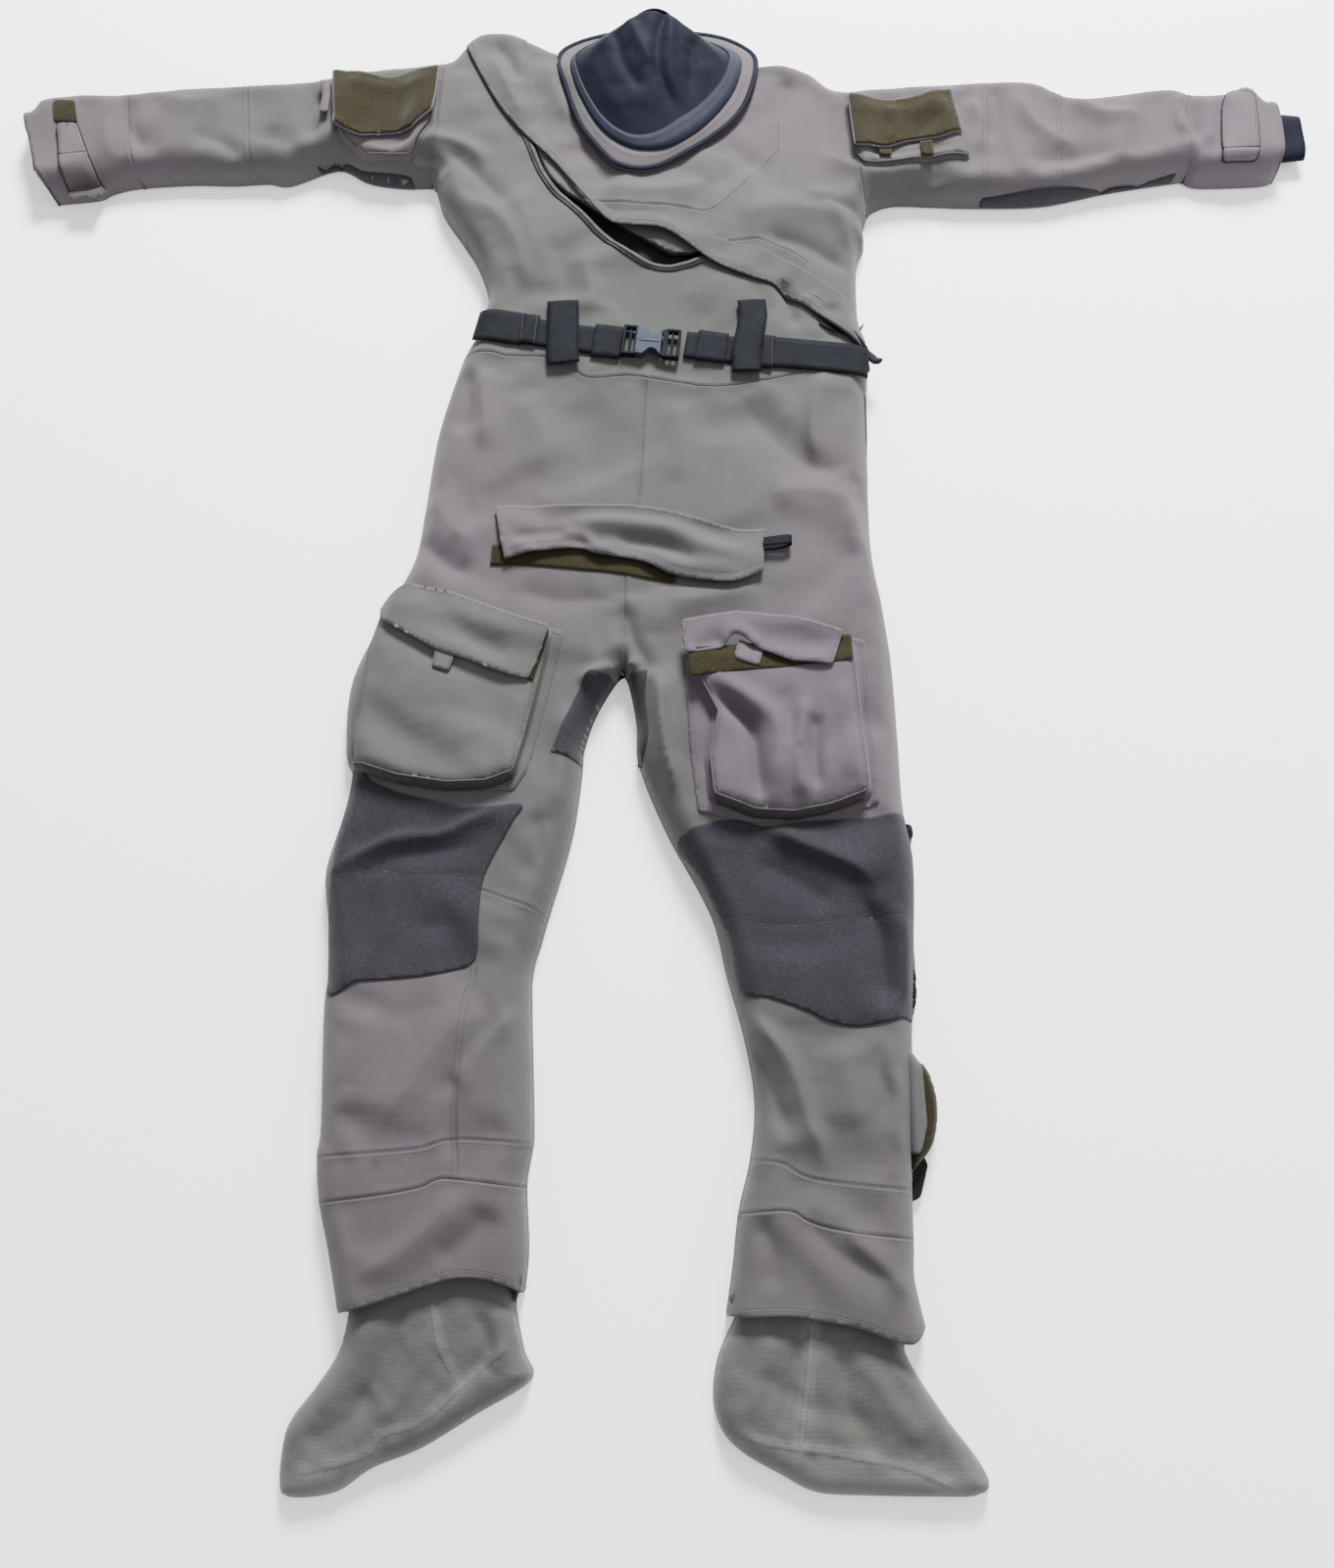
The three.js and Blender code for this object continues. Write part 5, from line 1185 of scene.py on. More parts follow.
def neck():
    """The collar's cloth band and dark edge, and the seal, which rises from its rim to a flattened mouth."""
    count, seal_rows = 150, 40
    outer = along(curve(NECK_FRONT + NECK_BACK, 4.0, closed=True), 1.0, closed=True)
    outer = outer[np.linspace(0, len(outer) - 1, count).astype(int)]
    inner = along(curve(RIM_FRONT + RIM_BACK, 4.0, closed=True), 1.0, closed=True)
    inner = inner[np.linspace(0, len(inner) - 1, count).astype(int)]

    def ring(mix, rise):
        xy = outer * (1 - mix) + inner * mix
        fall = smoothstep((xy[:, 1] - 800) / 110)
        return np.column_stack([xy, COLLAR_Z + rise - fall * COLLAR_FALL + 0.8 * noise(xy, 30, 31)])

    ruled("collar_cloth", [ring(m, r) for m, r in ((-0.1, -1), (0.0, 1.5), (0.3, 4.0), (0.7, 6.0),
            (1.05, 7.5))],
          "shell", closed=True, thick=1.4, stands_for="collar_band")
    sweep("collar_edge", ring(0.04, 3.0), 3.6, 1.7, "neoprene", turns=10, closed=True,
          stands_for="collar_binding")
    lower = ring(0.62, 3.0)[:, :2]
    stitched("collar_stitches", [lower[:100]],
             lambda p: COLLAR_Z + 6.2 - smoothstep((p[:, 1] - 800) / 110) * COLLAR_FALL)
    mouth_angle = np.linspace(0, 2 * math.pi, count, endpoint=False)
    start = math.atan2(inner[0, 1] - 800, inner[0, 0] + 12)
    mouth = np.stack([-14 + 20 * np.cos(start + mouth_angle), 870 + 2.2 * np.sin(start + mouth_angle)],
                     axis=1)
    base = ring(1.0, 8.0)
    rings = []
    for s in np.linspace(0, 1, seal_rows):
        right = smoothstep((base[:, 0] + 60) / 90)
        bend = s ** (1 - 0.32 * right)
        xy = base[:, :2] * (1 - bend)[:, None] + mouth * bend[:, None]
        front = smoothstep((860 - base[:, 1]) / 60)
        top = 108 - 7 * ((mouth[:, 0] + 14) / 20) ** 2
        z = base[:, 2] * (1 - s) + top * s + 9 * math.sin(math.pi * s) * front
        rings.append(np.column_stack([xy, z]))
    creases = [
        (-4.5, 7, [(-2, 862), (-10, 824), (-8, 784), (12, 744), (30, 706)]),
        (3.5, 8, [(10, 858), (8, 820), (10, 782), (30, 740), (46, 716)]),
        (5, 9, [(-46, 856), (-34, 826), (-22, 800)]), (-4, 8, [(-64, 840), (-54, 800), (-36, 770)]),
        (4, 12, [(60, 800), (56, 770), (50, 744)]), (-4, 8, [(36, 830), (36, 780), (44, 750)]),
        (3, 14, [(-96, 800), (-84, 760), (-60, 726)]),
    ]
    creases = [(h, w, curve(points, 5.0)) for h, w, points in creases]
    walls = []
    for s, wall in zip(np.linspace(0, 1, seal_rows), rings):
        front = smoothstep((862 - base[:, 1]) / 50) * smoothstep((s - 0.1) * 5)
        move = np.zeros(count)
        for rise, width, line in creases:
            move += rise * np.exp(-((near(wall[:, :2], line)[0] / width) ** 2))
        move += 1.2 * noise(wall[:, :2], 22, 33) + 0.5 * noise(wall[:, :2], 8, 34)
        wall = wall.copy()
        wall[:, 2] = np.minimum(wall[:, 2] + move * front, SEAL_MOST_Z)
        walls.append(wall)
    # Painted highlight: a pale spot on the front of the seal's wall, put into its colour through the light
    # attribute.
    painted_highlight = []
    for wall in walls:
        patch = np.exp(-(((wall[:, 0] + 28) / 13) ** 2) - (((wall[:, 1] - 818) / 22) ** 2))
        painted_highlight.append(0.22 * patch)
    ruled("neck_seal_wall", walls, "neoprene", closed=True, thick=2.0, light=np.concatenate(painted_highlight),
          stands_for="neck_seal")
    edge = [walls[0] + (0, 0, -1.0), walls[0] + (0, 0, 1.6), walls[1] + (0, 0, 1.7), walls[2] + (0, 0, 1.7),
            walls[3] + (0, 0, 1.6), walls[3] + (0, 0, 0.2)]
    ruled("neck_seal_rim", edge, "rim", closed=True)


# ---- Waist belt ----
BELT_GIVE = 0.35  # how much of the folds under it the belt follows


def belt():
    """Webbing either side of the buckle, with its loops, keepers and stitches."""
    web = {"across": 7, "thick": 1.8}

    def flat(lift):
        """Webbing is stiff: it follows only a share of the folds under it."""
        return lambda points: surface(points, False) * BELT_GIVE + (1 - BELT_GIVE) * BODY_TOP + lift

    strip("belt_band_right_web", [(-240, 424), (-178, 414)], 46, "webbing", flat(3.4),
          stands_for="belt_band_right", **web)
    strip("belt_keeper_right", [(-180, 414), (-160, 411)], 42, "webbing", flat(5.6), **web)
    strip("belt_strap_right_web", [(-182, 413), (-130, 404), (-50, 392)], 38, "webbing", flat(3.2),
          stands_for="belt_strap_right", **web)
    strip("belt_block_right", [(-90, 397), (-54, 392)], 46, "webbing", flat(5.4), **web)
    strip("belt_loop_right_web", [(-129, 452), (-128, 430), (-128, 380), (-126, 362)], 40, "webbing",
          flat(7.6), crown=1.0, stands_for="belt_loop_right", light=0.06, **web)
    strip("belt_strap_left_web", [(26, 392), (80, 384), (150, 377)], 38, "webbing", flat(3.2),
          body="buckle_male", stands_for="belt_strap_left", **web)
    strip("belt_block_left", [(40, 390), (78, 384)], 43, "webbing", flat(5.4), body="buckle_male", **web)
    strip("belt_loop_left_web", [(110, 454), (112, 432), (108, 408), (102, 380), (102, 349)], 36, "webbing",
          flat(7.8), crown=1.4, stands_for="belt_loop_left", light=0.05, **web)
    strip("belt_keeper_left", [(121, 380), (137, 378)], 46, "webbing", flat(6.0), light=0.05, **web)
    strip("belt_band_left_web", [(132, 380), (190, 375), (257, 367)], 42, "webbing", flat(4.2),
          stands_for="belt_band_left", light=0.04, **web)
    rows = [[(-178, 436), (-181, 396)], [(-161, 431), (-164, 392)], [(122, 402), (119, 360)],
            [(136, 399), (134, 358)]]
    stitched("belt_stitches", rows, flat(7.0), "pale_thread", pitch=3.2, width=1.0)
    rows = [[(-146, 446), (-144, 366)], [(-111, 446), (-110, 366)], [(-147, 368), (-109, 368)],
            [(-147, 446), (-111, 447)],
            [(85, 352), (119, 352)], [(140, 398), (254, 386)], [(140, 360), (254, 350)]]
    stitched("belt_edge_stitches", rows, flat(8.2), "webbing", pitch=3.2, light=0.2)


# ---- Relief zip with its flap ----
def relief():
    """The relief zip under its rippled flap, with its pull loop and hook strip."""
    top = [(-204, 162), (-120, 162), (-30, 160), (28, 148), (84, 132), (121, 132)]
    bottom = [(117, 76), (82, 62), (46, 64), (8, 72), (-30, 89), (-80, 95), (-100, 104), (-140, 101),
              (-190, 90)]
    loop = joined(curve(top), curve(bottom), np.array([(-190, 90), (-198, 128)]))
    height = creased(over(8.5), [
        (7, 12, [(-110, 134), (-60, 136), (0, 128), (60, 104), (100, 96)]),
        (-4, 8, [(-186, 118), (-130, 124), (-100, 116), (-84, 104)]),
        (6, 7, [(-124, 124), (-96, 118), (-80, 104), (-60, 100)]),
        (-4, 8, [(-60, 116), (0, 106), (40, 88)]), (5, 12, [(-30, 100), (20, 84), (90, 78)]),
        (-3, 9, [(-140, 148), (-60, 150), (20, 140), (80, 122)]),
        (4, 10, [(-180, 110), (-160, 100), (-150, 96)]),
    ])
    panel("relief_flap_cloth", [loop], "faded", height=height, step=3.5, fine=False, thick=2.0,
          body="relief_flap", stands_for="relief_flap", light=0.03)
    hem = curve(bottom)
    stitched("relief_flap_stitches", [beside(hem, -3.0), beside(hem, -11.0), beside(curve(top), -4.0)],
             lambda p: height(p) + 0.2, body="relief_flap")
    strip("relief_hook_cloth", [(-207, 99), (-140, 95), (-68, 88), (14, 76)], 26, "loop", over(1.6),
          thick=1.2, stands_for="relief_hook_strip")
    zip_line = np.array([(-192, 124), (104, 91.5)])
    strip("relief_zip_cloth", zip_line, 24, "tape", over(1.2), thick=1.0, stands_for="relief_zip_tape")
    for side in (-1.6, 1.6):
        sweep("relief_teeth_" + ("low" if side < 0 else "high"),
              lifted(beside(along(zip_line, 5.0), side), over(2.2)), 1.1, 0.8, "metal", turns=6)
    profile = curve([(96, 2), (118, 3), (138, 4), (148, 6.5), (151, 10), (147, 13.5), (136, 14), (118, 12)],
                    2.0)
    lines = []
    for across in np.linspace(-6, 6, 5):
        y = 112 + across + 0.12 * (profile[:, 0] - 120)
        flat = np.column_stack([profile[:, 0], y])
        lines.append(np.column_stack([flat, surface(flat, False) + profile[:, 1]]))
    ruled("relief_pull_ribbon", lines, "webbing", thick=1.2, body="relief_slider",
          stands_for="relief_pull_loop")


# ---- Pockets ----
def bag(name, face, flange, depth, look, drain=None, creases=(), base_out=3.0, fade=None, stands_for=()):
    """A bellows pocket: a face panel and a folded gusset, and a flange and a mesh drain if it has them."""
    face = along(face, 3.0, closed=True)
    rise = creased(over(depth), creases)

    def face_height(points):
        inset = near(points, np.vstack([face, face[:1]]))[0]
        return rise(points) - 3.5 * np.exp(-((inset / 5) ** 2))

    panel(name + "_face", [face], look, height=face_height, step=4.0, fine=False, fade=fade,
          stands_for=stands_for)
    lines = []
    for out, share in ((-0.3, 1.0), (1.6, 0.93), (-2.0, 0.55), (base_out, 0.25), (base_out + 1.5, 0.03)):
        line = outward(face, out)
        z = face_height(face) * share + (surface(line, False) + 1.0) * (1 - share)
        lines.append(np.column_stack([line, z - 0.3]))
    # Their light values darken the gusset and the piping: painted shade on the pocket's sides and along its
    # folded edge.
    ruled(name + "_gusset", lines, look, closed=True, fade=fade, light=-0.08)
    sweep(name + "_piping", np.column_stack([face, face_height(face) + 0.1]), 1.1, 0.9, look, turns=6,
          closed=True, fade=fade, light=-0.2)
    if flange is not None:
        outer = curve(flange, 4.0, closed=True) if len(flange) > 12 else rounded(flange)
        panel(name + "_flange", [outer], look, height=over(1.8), step=5.0, fine=False, fade=fade)
        stitched(name + "_flange_stitches", [outward(outer, -2.6), outward(outer, -6.0)], over(2.2))
    if drain is not None:
        a, b, drain_name = drain
        line = stretch(face, a, b)
        rows = []
        for out, share in ((1.2, 0.93), (3.6, 0.75), (5.4, 0.5), (7.0, 0.22)):
            moved = line + np.array([0.0, -1.0]) * out
            z = face_height(line) * share + (surface(moved, False) + 1) * (1 - share)
            rows.append(np.column_stack([moved, z]))
        ruled(name + "_drain_mesh", rows, "mesh", thick=0.8, stands_for=drain_name)
    inner = outward(face, -3.6)
    stitched(name + "_stitches", [inner], lambda p: face_height(p) + 0.25)


def side_of(points, hinge):
    """Distance of each point from a hinge (a point and a direction), positive on the side that lifts."""
    x, y, dx, dy = hinge
    return (points[:, 1] - y) * dx - (points[:, 0] - x) * dy


def part_beyond(loop, hinge, sign):
    """The part of a closed loop on one side of a hinge line."""
    far = sign * side_of(loop, hinge)
    kept = []
    for at, there, a, b in zip(loop, np.roll(loop, -1, 0), far, np.roll(far, -1)):
        if a >= 0:
            kept.append(at)
        if a * b < 0:
            kept.append(at + (there - at) * a / (a - b))
    return along(np.array(kept), 1.5, closed=True)


def runs(line, keep):
    """The stretches of a line whose points are kept."""
    cuts = np.nonzero(np.diff(keep.astype(int)))[0] + 1
    return [part for part, kept in zip(np.split(line, cuts),
                                       np.split(keep, cuts)) if kept[0] and len(part) > 3]


def hinged(name, loop, hinge, height, look, body, hem=4.0, stands_for=(), **more):
    """A sewn-on piece of cloth: the part past its hinge line lifts, and the sewn root stays with the suit."""
    panel(name, [part_beyond(loop, hinge, 1)], look, height=height, body=body, stands_for=stands_for, **more)
    panel(name + "_root", [part_beyond(loop, hinge, -1)], look, height=height, **more)
    row = outward(loop, -hem)
    far = side_of(row, hinge)
    stitched(name + "_stitches", runs(row, far > 1), lambda p: height(p) + 0.25, body=body)
    stitched(name + "_root_stitches", runs(row, far < -1), lambda p: height(p) + 0.25)


def flap(name, outline, height, look, body, stands_for=(), fade=None, hem=4.0, cut=3.0, **more):
    """A pocket flap with its hem stitches. It moves with its own body."""
    loop = rounded(outline, cut)
    panel(name, [loop], look, height=height, step=4.0, fine=False, thick=2.0, fade=fade, body=body,
          stands_for=stands_for, **more)
    stitched(name + "_stitches", [outward(loop, -hem)], lambda p: height(p) + 0.25, body=body)


def thigh_pockets():
    """The two bellows pockets with their flaps, tabs, loop strips and drains."""
    face = rounded([(-330, 24), (-300, 44), (-244, 32), (-180, 8), (-134, -4), (-150, -86), (-170, -176),
                    (-200, -187), (-244, -189), (-300, -180), (-356, -160), (-350, -90), (-342, -30)], 4)
    flange = [(-334, 30), (-298, 52), (-240, 40), (-176, 14), (-118, -1), (-136, -84), (-156, -172),
              (-170, -196), (-244, -192), (-352, -162)]
    bag("right_thigh_bag", face, flange, 19, "pocket",
        drain=((-354, -161), (-172, -177), "right_thigh_pocket_drain"),
        creases=[(3, 30, [(-300, -60), (-250, -100), (-220, -150)]),
                 (-2.5, 22, [(-200, -60), (-190, -120), (-200, -170)]),
                 (-3, 9, [(-330, 0), (-262, -44), (-170, -74)]),
                 (3, 12, [(-180, -178), (-176, -130), (-164, -80)])],
        fade=0.06, stands_for="right_thigh_pocket_bag")
    strip("right_thigh_loop_strip", [(-140, -6), (-158, -66)], 14, "loop", over(20.2), across=4)
    height = creased(over(23.5), [(3, 16, [(-320, 30), (-250, 14), (-170, -10)]),
                                  (-2, 14, [(-290, 20), (-230, -14), (-180, -40)]),
                                  (2.5, 10, [(-280, -16), (-230, -34), (-172, -56)])])
    flap("right_thigh_flap", [(-334, 27), (-318, 42), (-298, 52), (-244, 38), (-178, 12), (-132, -2),
                              (-144, -36),
                              (-156, -67), (-184, -60), (-262, -34), (-330, 6)], height, "pocket",
         "right_thigh_pocket_flap", "right_thigh_pocket_flap", fade=0.06, light=0.02)
    flap("right_thigh_tab", [(-262, -30), (-240, -37), (-246, -60), (-266, -54)], over(22.6), "pocket",
         "right_thigh_pocket_flap", fade=0.2, hem=2.5, light=0.08)

    face = rounded([(30, -40), (216, -16), (218, -60), (221, -110), (228, -198), (186, -214), (144, -223),
                    (100, -220), (56, -204), (52, -160), (62, -106), (44, -70)], 4)
    flange = [(24, -38), (222, -8), (234, -12), (238, -116), (242, -210), (190, -226), (102, -232),
              (38, -221), (29, -140)]
    bag("left_thigh_bag", face, flange, 22, "pocket",
        drain=((58, -205), (226, -199), "left_thigh_pocket_drain"),
        creases=[(-13, 9, [(50, -74), (76, -100), (98, -128), (104, -170), (108, -214)]),
                 (9, 12, [(62, -72), (100, -96), (128, -130), (126, -200)]),
                 (9, 10, [(160, -92), (154, -130), (150, -170), (156, -214)]),
                 (-9, 9, [(172, -110), (168, -150), (170, -200)]),
                 (4, 12, [(200, -70), (206, -130), (210, -190)]),
                 (-3, 14, [(130, -80), (140, -110), (134, -150)])],
        fade=1.0, stands_for="left_thigh_pocket_bag", base_out=6.0)
    panel("left_thigh_loop_strip", [rounded([(27, -30), (30, -66), (120, -56), (216, -46), (216, -12)], 2)],
          "loop", height=over(22.8), step=4.0, fine=False, thick=1.0)
    height = creased(over(26.0), [(4, 14, [(30, -8), (84, 4), (150, 0), (196, -16)]),
                                  (6, 9, [(66, -26), (80, -10), (96, -16), (108, -32)]),
                                  (-4, 9, [(30, -30), (56, -24), (70, -16)]),
                                  (4, 12, [(110, -30), (150, -42), (190, -46)])])
    flap("left_thigh_flap", [(20, 6), (50, 11), (84, 16), (148, 8), (207, -8), (198, -34), (192, -53),
                             (146, -48),
                             (108, -32), (88, -16), (80, -14), (66, -30), (44, -34), (24, -36)], height,
                             "pocket",
         "left_thigh_pocket_flap", "left_thigh_pocket_flap", fade=1.0, light=0.02)
    flap("left_thigh_tab", [(86, -18), (114, -32), (108, -54), (80, -44)], over(24.6), "pocket",
         "left_thigh_pocket_flap", fade=0.8, hem=2.5, light=0.08)


def sleeve_pockets():
    """The two sleeve pockets, with loop cloth on their flaps and small tabs beside them."""
    face = rounded([(-448, 818), (-372, 808), (-306, 816), (-312, 744), (-338, 690), (-400, 694), (-432, 724),
                    (-440, 760)], 4)
    bag("right_sleeve_bag", face, None, 10, "faded",
        creases=[(-3, 6, [(-420, 712), (-370, 704), (-330, 716)])],
        fade=0.7, stands_for="right_sleeve_pocket_bag")
    outline = [(-449, 822), (-410, 817), (-372, 812), (-302, 821), (-304, 780), (-308, 748), (-336, 720),
               (-404, 713), (-440, 727), (-444, 770)]
    height = creased(over(14.0), [(3, 12, [(-440, 800), (-370, 792), (-310, 800)]),
                                  (3, 14, [(-340, 800), (-330, 760), (-350, 724)])])
    flap("right_sleeve_flap", outline, height, "faded", "right_sleeve_pocket_flap",
         "right_sleeve_pocket_flap", fade=0.9)
    pile = outward(rounded(outline, 3), -2.4)
    panel("right_sleeve_flap_pile", [pile], "loop", height=lambda p: height(p) + 1.6, step=4.0, fine=False,
          thick=1.2, body="right_sleeve_pocket_flap")
    strip("right_sleeve_side_tab", [(-460, 806), (-455, 780), (-456, 752)], 11, "faded", over(9), across=4,
          fade=0.9)
    face = rounded([(246, 768), (318, 770), (384, 783), (400, 722), (404, 690), (360, 684), (322, 678),
                    (262, 668), (250, 690)], 4)
    bag("left_sleeve_bag", face, None, 10, "faded", creases=[(-3, 6, [(262, 684), (322, 688), (392, 700)])],
        fade=0.5, stands_for="left_sleeve_pocket_bag")
    outline = [(243, 773), (280, 771), (318, 775), (386, 789), (392, 752), (397, 720), (362, 706), (322, 703),
               (296, 692), (249, 687)]
    height_left = creased(over(14.0), [(3, 13, [(250, 750), (320, 752), (380, 764)]),
                                       (3, 10, [(300, 700), (306, 730), (300, 760)])])
    flap("left_sleeve_flap", outline, height_left, "faded", "left_sleeve_pocket_flap",
         "left_sleeve_pocket_flap", fade=0.9)
    pile = outward(rounded(outline, 3), -2.4)
    panel("left_sleeve_flap_pile", [pile], "loop", height=lambda p: height_left(p) + 1.6, step=4.0,
          fine=False, thick=1.2, body="left_sleeve_pocket_flap")
    for name, x in (("left_sleeve_hook_a", 290), ("left_sleeve_hook_b", 346)):
        strip(name, [(x, 704), (x + 2, 680)], 16, "loop", over(12.4), across=5)


# ---- Cuffs, wrists and feet ----
def cuff_tab(name, outline, hinge, body, stands_for, light):
    """A cuff's tab, sewn down to its hinge line, with a near-black tube round its edge that paints the shadow
    at its rim.
    """
    loop = rounded(outline, 6, 2.5)
    height = creased(over(4.2), [(1.4, 12, [outline[0], outline[2]])])
    hinged(name, loop, hinge, height, "faded", body, stands_for=stands_for, light=light, step=4.0, fine=False,
           thick=2.4)
    # Near-black tubes just under the tab's edge: painted shadow round its rim.
    far = side_of(loop, hinge)
    for number, edge in enumerate(runs(loop, far > 0)):
        sweep(f"{name}_edge_{number}", np.column_stack([edge, height(edge) - 0.9]), 1.0, 1.3, "tab_edge_shadow",
              turns=6, body=body)
    for number, edge in enumerate(runs(loop, far <= 0)):
        sweep(f"{name}_root_edge_{number}", np.column_stack([edge, height(edge) - 0.9]), 1.0, 1.3,
              "tab_edge_shadow", turns=6)


def wrists():
    """Cuff tabs, the right cuff's loop patch, wrist seals and cuff edges."""
    cuff_tab("right_tab", [(-816, 742), (-790, 745), (-768, 695), (-746, 643), (-794, 641), (-806, 690)],
             (-817, 690, 1, 0), "right_cuff_tab", "right_cuff_tab", 0.08)
    cuff_tab("left_tab", [(752, 776), (761, 794), (776, 800), (797, 789), (794, 740), (790, 686), (742, 684),
                          (746, 728)], (765, 699.1, 1, 0), "left_cuff_tab", "left_cuff_tab", 0.08)
    panel("right_cuff_pile", [rounded([(-826, 781), (-797, 781), (-790, 747), (-820, 746)], 2)], "loop",
          height=over(2.0), step=4.0, fine=False, stands_for="right_cuff_loop_patch")
    for side, start, end, y, turn in (("left", 771, 866, 746, 1), ("right", -765, -852, 729, -1)):
        rings = []
        for s in np.linspace(0, 1, 16):
            x = start + (end - start) * s
            half, tall = 48 - 12 * s, 13 - 2 * s
            angle = np.linspace(0, 2 * math.pi, 48, endpoint=False) * turn
            z = 17 + tall * np.sin(angle) * (1 + 0.16 * np.cos(3 * angle + 5 * s))
            rings.append(np.column_stack([np.full(48, x), y - 2 * s + half * np.cos(angle), z]))
        ruled(side + "_wrist_cone", rings, "neoprene", closed=True, thick=1.6,
              stands_for=side + "_wrist_seal")
    frayed = lifted(curve(RIGHT_CUFF_END, 3.0), over(-1.0))
    sweep("right_cuff_edge", frayed, 1.6 + 0.5 * noise(frayed[:, :2], 9, 50), 1.4, "mesh", turns=7)
    edge = lifted(curve(LEFT_CUFF_END, 3.0), over(-0.8))
    sweep("left_cuff_edge", edge, 1.2, 1.2, "faded", turns=7, light=-0.2)


RIGHT_SOCK = [
    (-160, -700), (-154, -742), (-144, -784), (-136, -812), (-190, -844), (-246, -876), (-294, -894),
    (-330, -916),
    (-376, -920), (-386, -906), (-386, -876), (-380, -850), (-356, -818), (-335, -784), (-328, -748),
    (-322, -700),
]
LEFT_SOCK = [
    (244, -724), (248, -784), (284, -844), (314, -882), (327, -908), (312, -919), (278, -920), (210, -919),
    (154, -916),
    (118, -900), (80, -880), (58, -858), (50, -826), (56, -788), (74, -750), (80, -724),
]


SOCK_EDGE, SOCK_TOP, SOCK_ROLL = 2.4, 30, 22  # heights of a sock's edge and top, and the width of its roll


def sock(side, outline, seams, creases):
    """A sewn-in sock, with seams along the given lines, creases and a scuffed toe."""
    loop = curve(outline, 5.0, closed=True)
    edge = curve(outline, 5.0)
    seam_lines = [curve(points, 5.0) for points in seams]

    def body(points):
        distance = np.clip(near(points, edge)[0] / SOCK_ROLL, 0, 1)
        profile = np.sqrt(np.clip(1 - (1 - distance) ** 2, 0, 1))
        crinkle = 1.8 * noise(points, 40, 61) + 0.8 * noise(points, 15, 62) + 0.3 * noise(points, 7, 63)
        ridge = np.zeros(len(points))
        for line in seam_lines:
            far = near(points, line)[0]
            ridge += 1.6 * np.exp(-((far / 2.4) ** 2)) + 0.8 * noise(points, 9,
                    64) * np.exp(-((far / 8) ** 2))
        low_toe = 7 * smoothstep((-840 - points[:, 1]) / 80)
        return SOCK_EDGE + (SOCK_TOP - low_toe + crinkle + ridge) * profile

    height = creased(body, creases)
    flat, faces = triangles([along(loop, 3.0, closed=True)],
                            net([along(loop, 3.0, closed=True)], 3.6, 3.0, False))
    scuff = np.zeros(len(flat))
    for line in seam_lines:
        scuff += 0.28 * np.exp(-((near(flat, line)[0] / 9) ** 2)) * (0.7 + 0.3 * noise(flat, 12, 65))
    scuff += 0.25 * smoothstep((-860 - flat[:, 1]) / 50) * (0.85 + 0.15 * noise(flat, 26, 66))
    make(side + "_sock_cloth", np.column_stack([flat, height(flat)]), faces, "sock", thick=1.2, fade=0.2,
         light=scuff, stands_for=side + "_sock")
    panel(side + "_sock_back", [loop], "sock", height=lambda p: 0.9 + 0 * p[:, 0], step=9.0, fine=False,
          thick=0.6, fade=0.2)
    rows = [beside(line, offset) for line in seam_lines for offset in (-3, 3)]
    stitched(side + "_sock_stitches", rows, lambda p: height(p) + 0.2, light=0.2)


def feet():
    """Both socks, with the seams and creases of each."""
    sock("right", RIGHT_SOCK, [[(-356, -892), (-296, -878), (-282, -860), (-242, -846), (-204, -814),
                                (-162, -780)],
                               [(-236, -740), (-226, -780), (-206, -812)]],
         [(5, 12, [(-300, -740), (-310, -790), (-346, -840)]),
          (-5, 10, [(-270, -744), (-280, -790), (-310, -840)]),
          (4, 9, [(-240, -760), (-256, -810), (-290, -850)]),
          (-4, 9, [(-190, -744), (-180, -780), (-200, -810)]),
          (4, 12, [(-160, -740), (-164, -780), (-176, -800)]),
          (-4, 12, [(-360, -870), (-320, -850), (-290, -820)])])
    sock("left", LEFT_SOCK, [[(80, -862), (124, -870), (168, -876), (238, -888), (286, -906)],
                             [(150, -760), (146, -800), (136, -868)]],
         [(5, 12, [(110, -764), (96, -810), (80, -850)]), (-5, 10, [(140, -764), (130, -810), (118, -856)]),
          (5, 14, [(200, -780), (220, -820), (262, -870)]), (-4, 12, [(180, -776), (186, -830), (216, -880)]),
          (4, 12, [(240, -790), (264, -830), (300, -880)]), (-4, 12, [(90, -800), (140, -830), (210, -850)])])


def calf_pocket():
    """The pocket on the outer side of the left leg: a domed bag, its flap and a black hem."""
    loop = curve([(258, -486), (276, -489), (290, -508), (296, -540), (290, -576), (274, -598), (258, -604)],
                 4.0, closed=True)

    def height(points):
        distance = np.clip(near(points, np.vstack([loop, loop[:1]]))[0] / 12, 0, 1)
        return 6 + 28 * np.sqrt(np.clip(1 - (1 - distance) ** 2, 0, 1))

    panel("calf_pocket_bag", [loop], "loop", height=height, step=3.5, fine=False, stands_for="calf_pocket")
    panel("calf_pocket_flap", [rounded([(258, -480), (268, -482), (276, -500), (278, -560), (270, -590),
                                        (258, -590)], 3)],
          "pocket", height=lambda p: height(p) + 5.0, step=3.5, fine=False, fade=0.3)
    panel("calf_pocket_hem", [rounded([(258, -590), (276, -588), (282, -600), (272, -634), (258, -640)], 3)],
          "tape", height=lambda p: 10 + 0 * p[:, 0], step=4.0, fine=False)


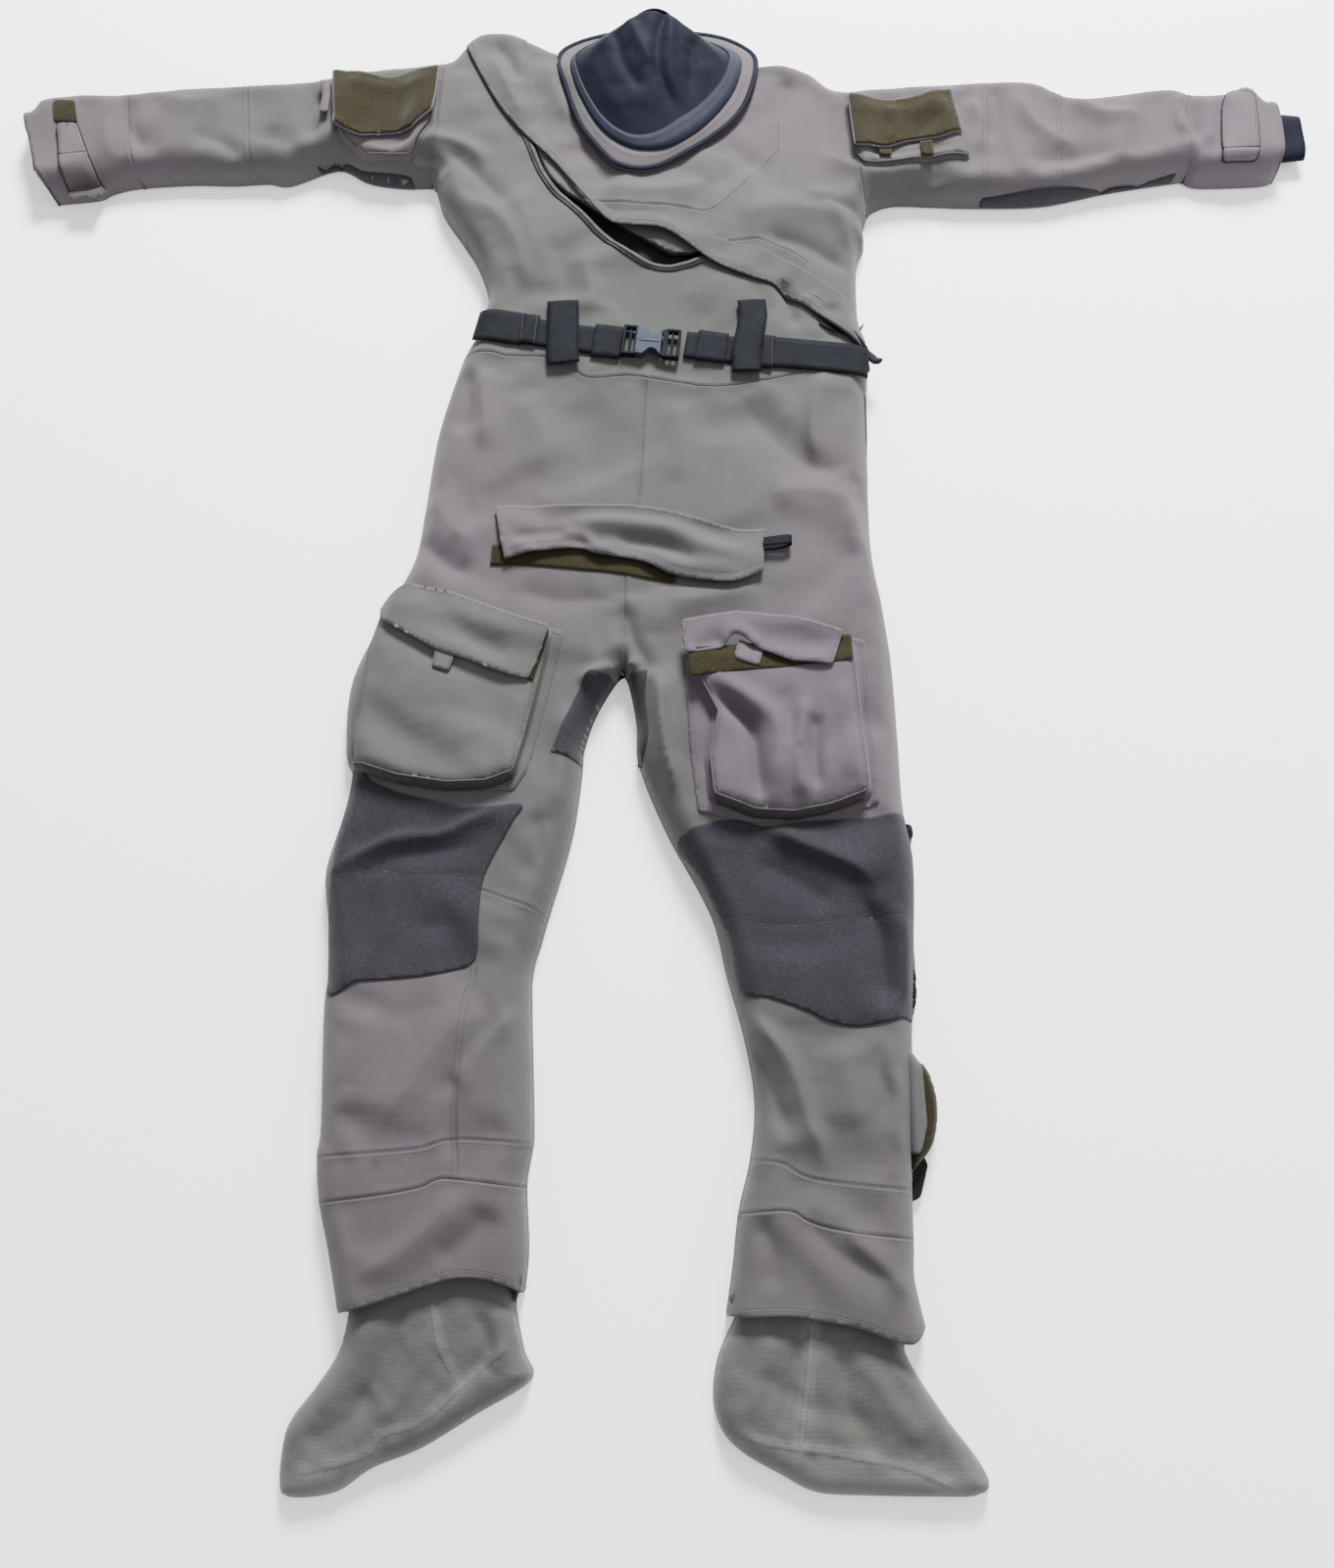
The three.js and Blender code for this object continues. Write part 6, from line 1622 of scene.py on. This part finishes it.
def blocks(name, outlines, look, **more):
    """Moulded bars and plates: outlines in millimetres along and across the belt, with a low and a high z."""
    centre, along_belt, across = np.array([-14, 390.5]), np.array([0.9942, -0.1078]), np.array([0.1078,
            0.9942])
    points, faces = [], []
    for outline, low, high in outlines:
        flat = [centre + along_belt * u + across * v for u, v in outline]
        first, count = len(points), len(flat)
        points += [(*p, low) for p in flat] + [(*p, high) for p in flat]
        faces.append(tuple(range(first + count - 1, first - 1, -1)))
        faces.append(tuple(range(first + count, first + 2 * count)))
        faces += [(first + k, first + (k + 1) % count, first + count + (k + 1) % count, first + count + k)
                  for k in range(count)]
    obj = make(name, points, faces, look, smooth=False, **more)
    bevel = obj.modifiers.new("edges", "BEVEL")
    bevel.width = 0.0009
    bevel.segments = 3
    bevel.limit_method = "ANGLE"
    return obj


def bar(u0, u1, v0, v1, low, high):
    """A rectangle along and across the belt, with its low and high z."""
    return [(u0, v0), (u1, v0), (u1, v1), (u0, v1)], low, high


def buckle():
    """A side-release buckle: a barred end on each strap, with the socket's waisted body between them."""
    ladder = [bar(-39, -35.5, -21, 21, 52, 61), bar(-31, -28, -18, 18, 53, 59),
              bar(-24, -21, -21, 21, 52, 61),
              bar(-38, -22, 17.5, 21, 52, 61), bar(-38, -22, -21, -17.5, 52, 61)]
    blocks("buckle_socket_ladder", ladder, "plastic", stands_for="buckle_female")
    body = [(-22, -19), (-13, -20), (-8, -15), (-5, -11), (-1, -10), (4, -12), (8, -17), (10, -17), (10, 17),
            (8, 17), (4, 12), (-1, 10), (-5, 11), (-8, 15), (-13, 20), (-22, 19)]
    blocks("buckle_socket_body", [(body, 51.5, 62.0)], "plastic_blue")
    # The rib's light value makes it paler than the body: a painted highlight along its raised ridge.
    blocks("buckle_socket_rib", [bar(-20, 8, -1.2, 1.2, 62.0, 62.8), bar(-20, -18, -16, 16, 62.0, 62.8)],
           "plastic_blue", light=0.3)
    prongs = [(11, -19), (18, -21), (18, 21), (11, 19), (9, 16), (11.5, 12), (11.5, -12), (9, -16)]
    ladder = [(prongs, 53.5, 60.0), bar(22, 25, -18, 18, 53, 59), bar(30, 33.5, -20, 20, 52, 61),
              bar(16, 33, 17, 20.5, 52, 61), bar(16, 33, -20.5, -17, 52, 61)]
    blocks("buckle_prong_ladder", ladder, "plastic", body="buckle_male", stands_for="buckle_male")


def hard_parts():
    """The moving metal and plastic pieces keep their CAD shapes and get rounded edges and their finishes."""
    looks = {"zip_slider": "metal", "zip_puller": "webbing", "relief_slider": "metal"}
    for name, look in looks.items():
        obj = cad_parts[name]
        material, slot = MATERIALS[look]
        obj.data.materials.clear()
        obj.data.materials.append(material)
        bevel = obj.modifiers.new("edges", "BEVEL")
        bevel.width = 0.0006
        bevel.segments = 2
        bevel.limit_method = "ANGLE"


# ---- Camera, light and floor ----
EYE, TARGET, LENS = (0.003, -0.630, 1.481), (0.003, -0.1715, 0), 30.4
LAMPS = (("key", (0.5, 3.4, 2.6), 1.1, 760), ("fill", (1.8, -0.2, 2.0), 2.0, 30))  # name, place, size, power
LAMPS_AIM = (0, 0.1, 0)
FLOOR_HALF = 12.0
FLOOR_Z = -0.0005  # just under the cloth of the back
FLOOR_GLOW = 0.35  # brings the floor near the photo's white


def studio():
    """The camera, the plain floor, the world's light and two soft lamps."""
    camera = bpy.data.cameras.new("camera")
    camera.sensor_fit = "AUTO"
    camera.sensor_width = 36
    camera.lens = LENS
    eye = bpy.data.objects.new("camera", camera)
    bpy.context.collection.objects.link(eye)
    eye.location = EYE
    eye.rotation_mode = "QUATERNION"
    eye.rotation_quaternion = (Vector(TARGET) - eye.location).to_track_quat("-Z", "Y")
    bpy.context.scene.camera = eye
    mesh = bpy.data.meshes.new("floor")
    half = FLOOR_HALF
    mesh.from_pydata([(-half, -half, 0), (half, -half, 0), (half, half, 0), (-half, half, 0)], [],
                     [(0, 1, 2, 3)])
    floor = bpy.data.objects.new("floor", mesh)
    bpy.context.collection.objects.link(floor)
    floor.location.z = FLOOR_Z
    material, *_, shader = tree_of("floor", 0.95, specular=0.1)
    shader.inputs["Base Color"].default_value = (0.93, 0.93, 0.935, 1)
    shader.inputs["Emission Color"].default_value = (1, 1, 1, 1)
    shader.inputs["Emission Strength"].default_value = FLOOR_GLOW
    mesh.materials.append(material)
    world = bpy.data.worlds.new("studio")
    bpy.context.scene.world = world
    world.use_nodes = True
    world.node_tree.nodes["Background"].inputs["Color"].default_value = (0.97, 0.985, 1, 1)
    world.node_tree.nodes["Background"].inputs["Strength"].default_value = 0.95
    for name, spot, size, power in LAMPS:
        lamp = bpy.data.lights.new(name, "AREA")
        lamp.size = size
        lamp.energy = power
        light = bpy.data.objects.new(name, lamp)
        bpy.context.collection.objects.link(light)
        light.location = spot
        light.rotation_mode = "QUATERNION"
        light.rotation_quaternion = (Vector(LAMPS_AIM) - light.location).to_track_quat("-Z", "Y")


make_materials()
studio()
print("settled", settle())
shell_front()
shell_back()
seam_stitches()
patches()
entry_zip()
neck()
belt()
relief()
thigh_pockets()
sleeve_pockets()
wrists()
feet()
calf_pocket()
buckle()
hard_parts()
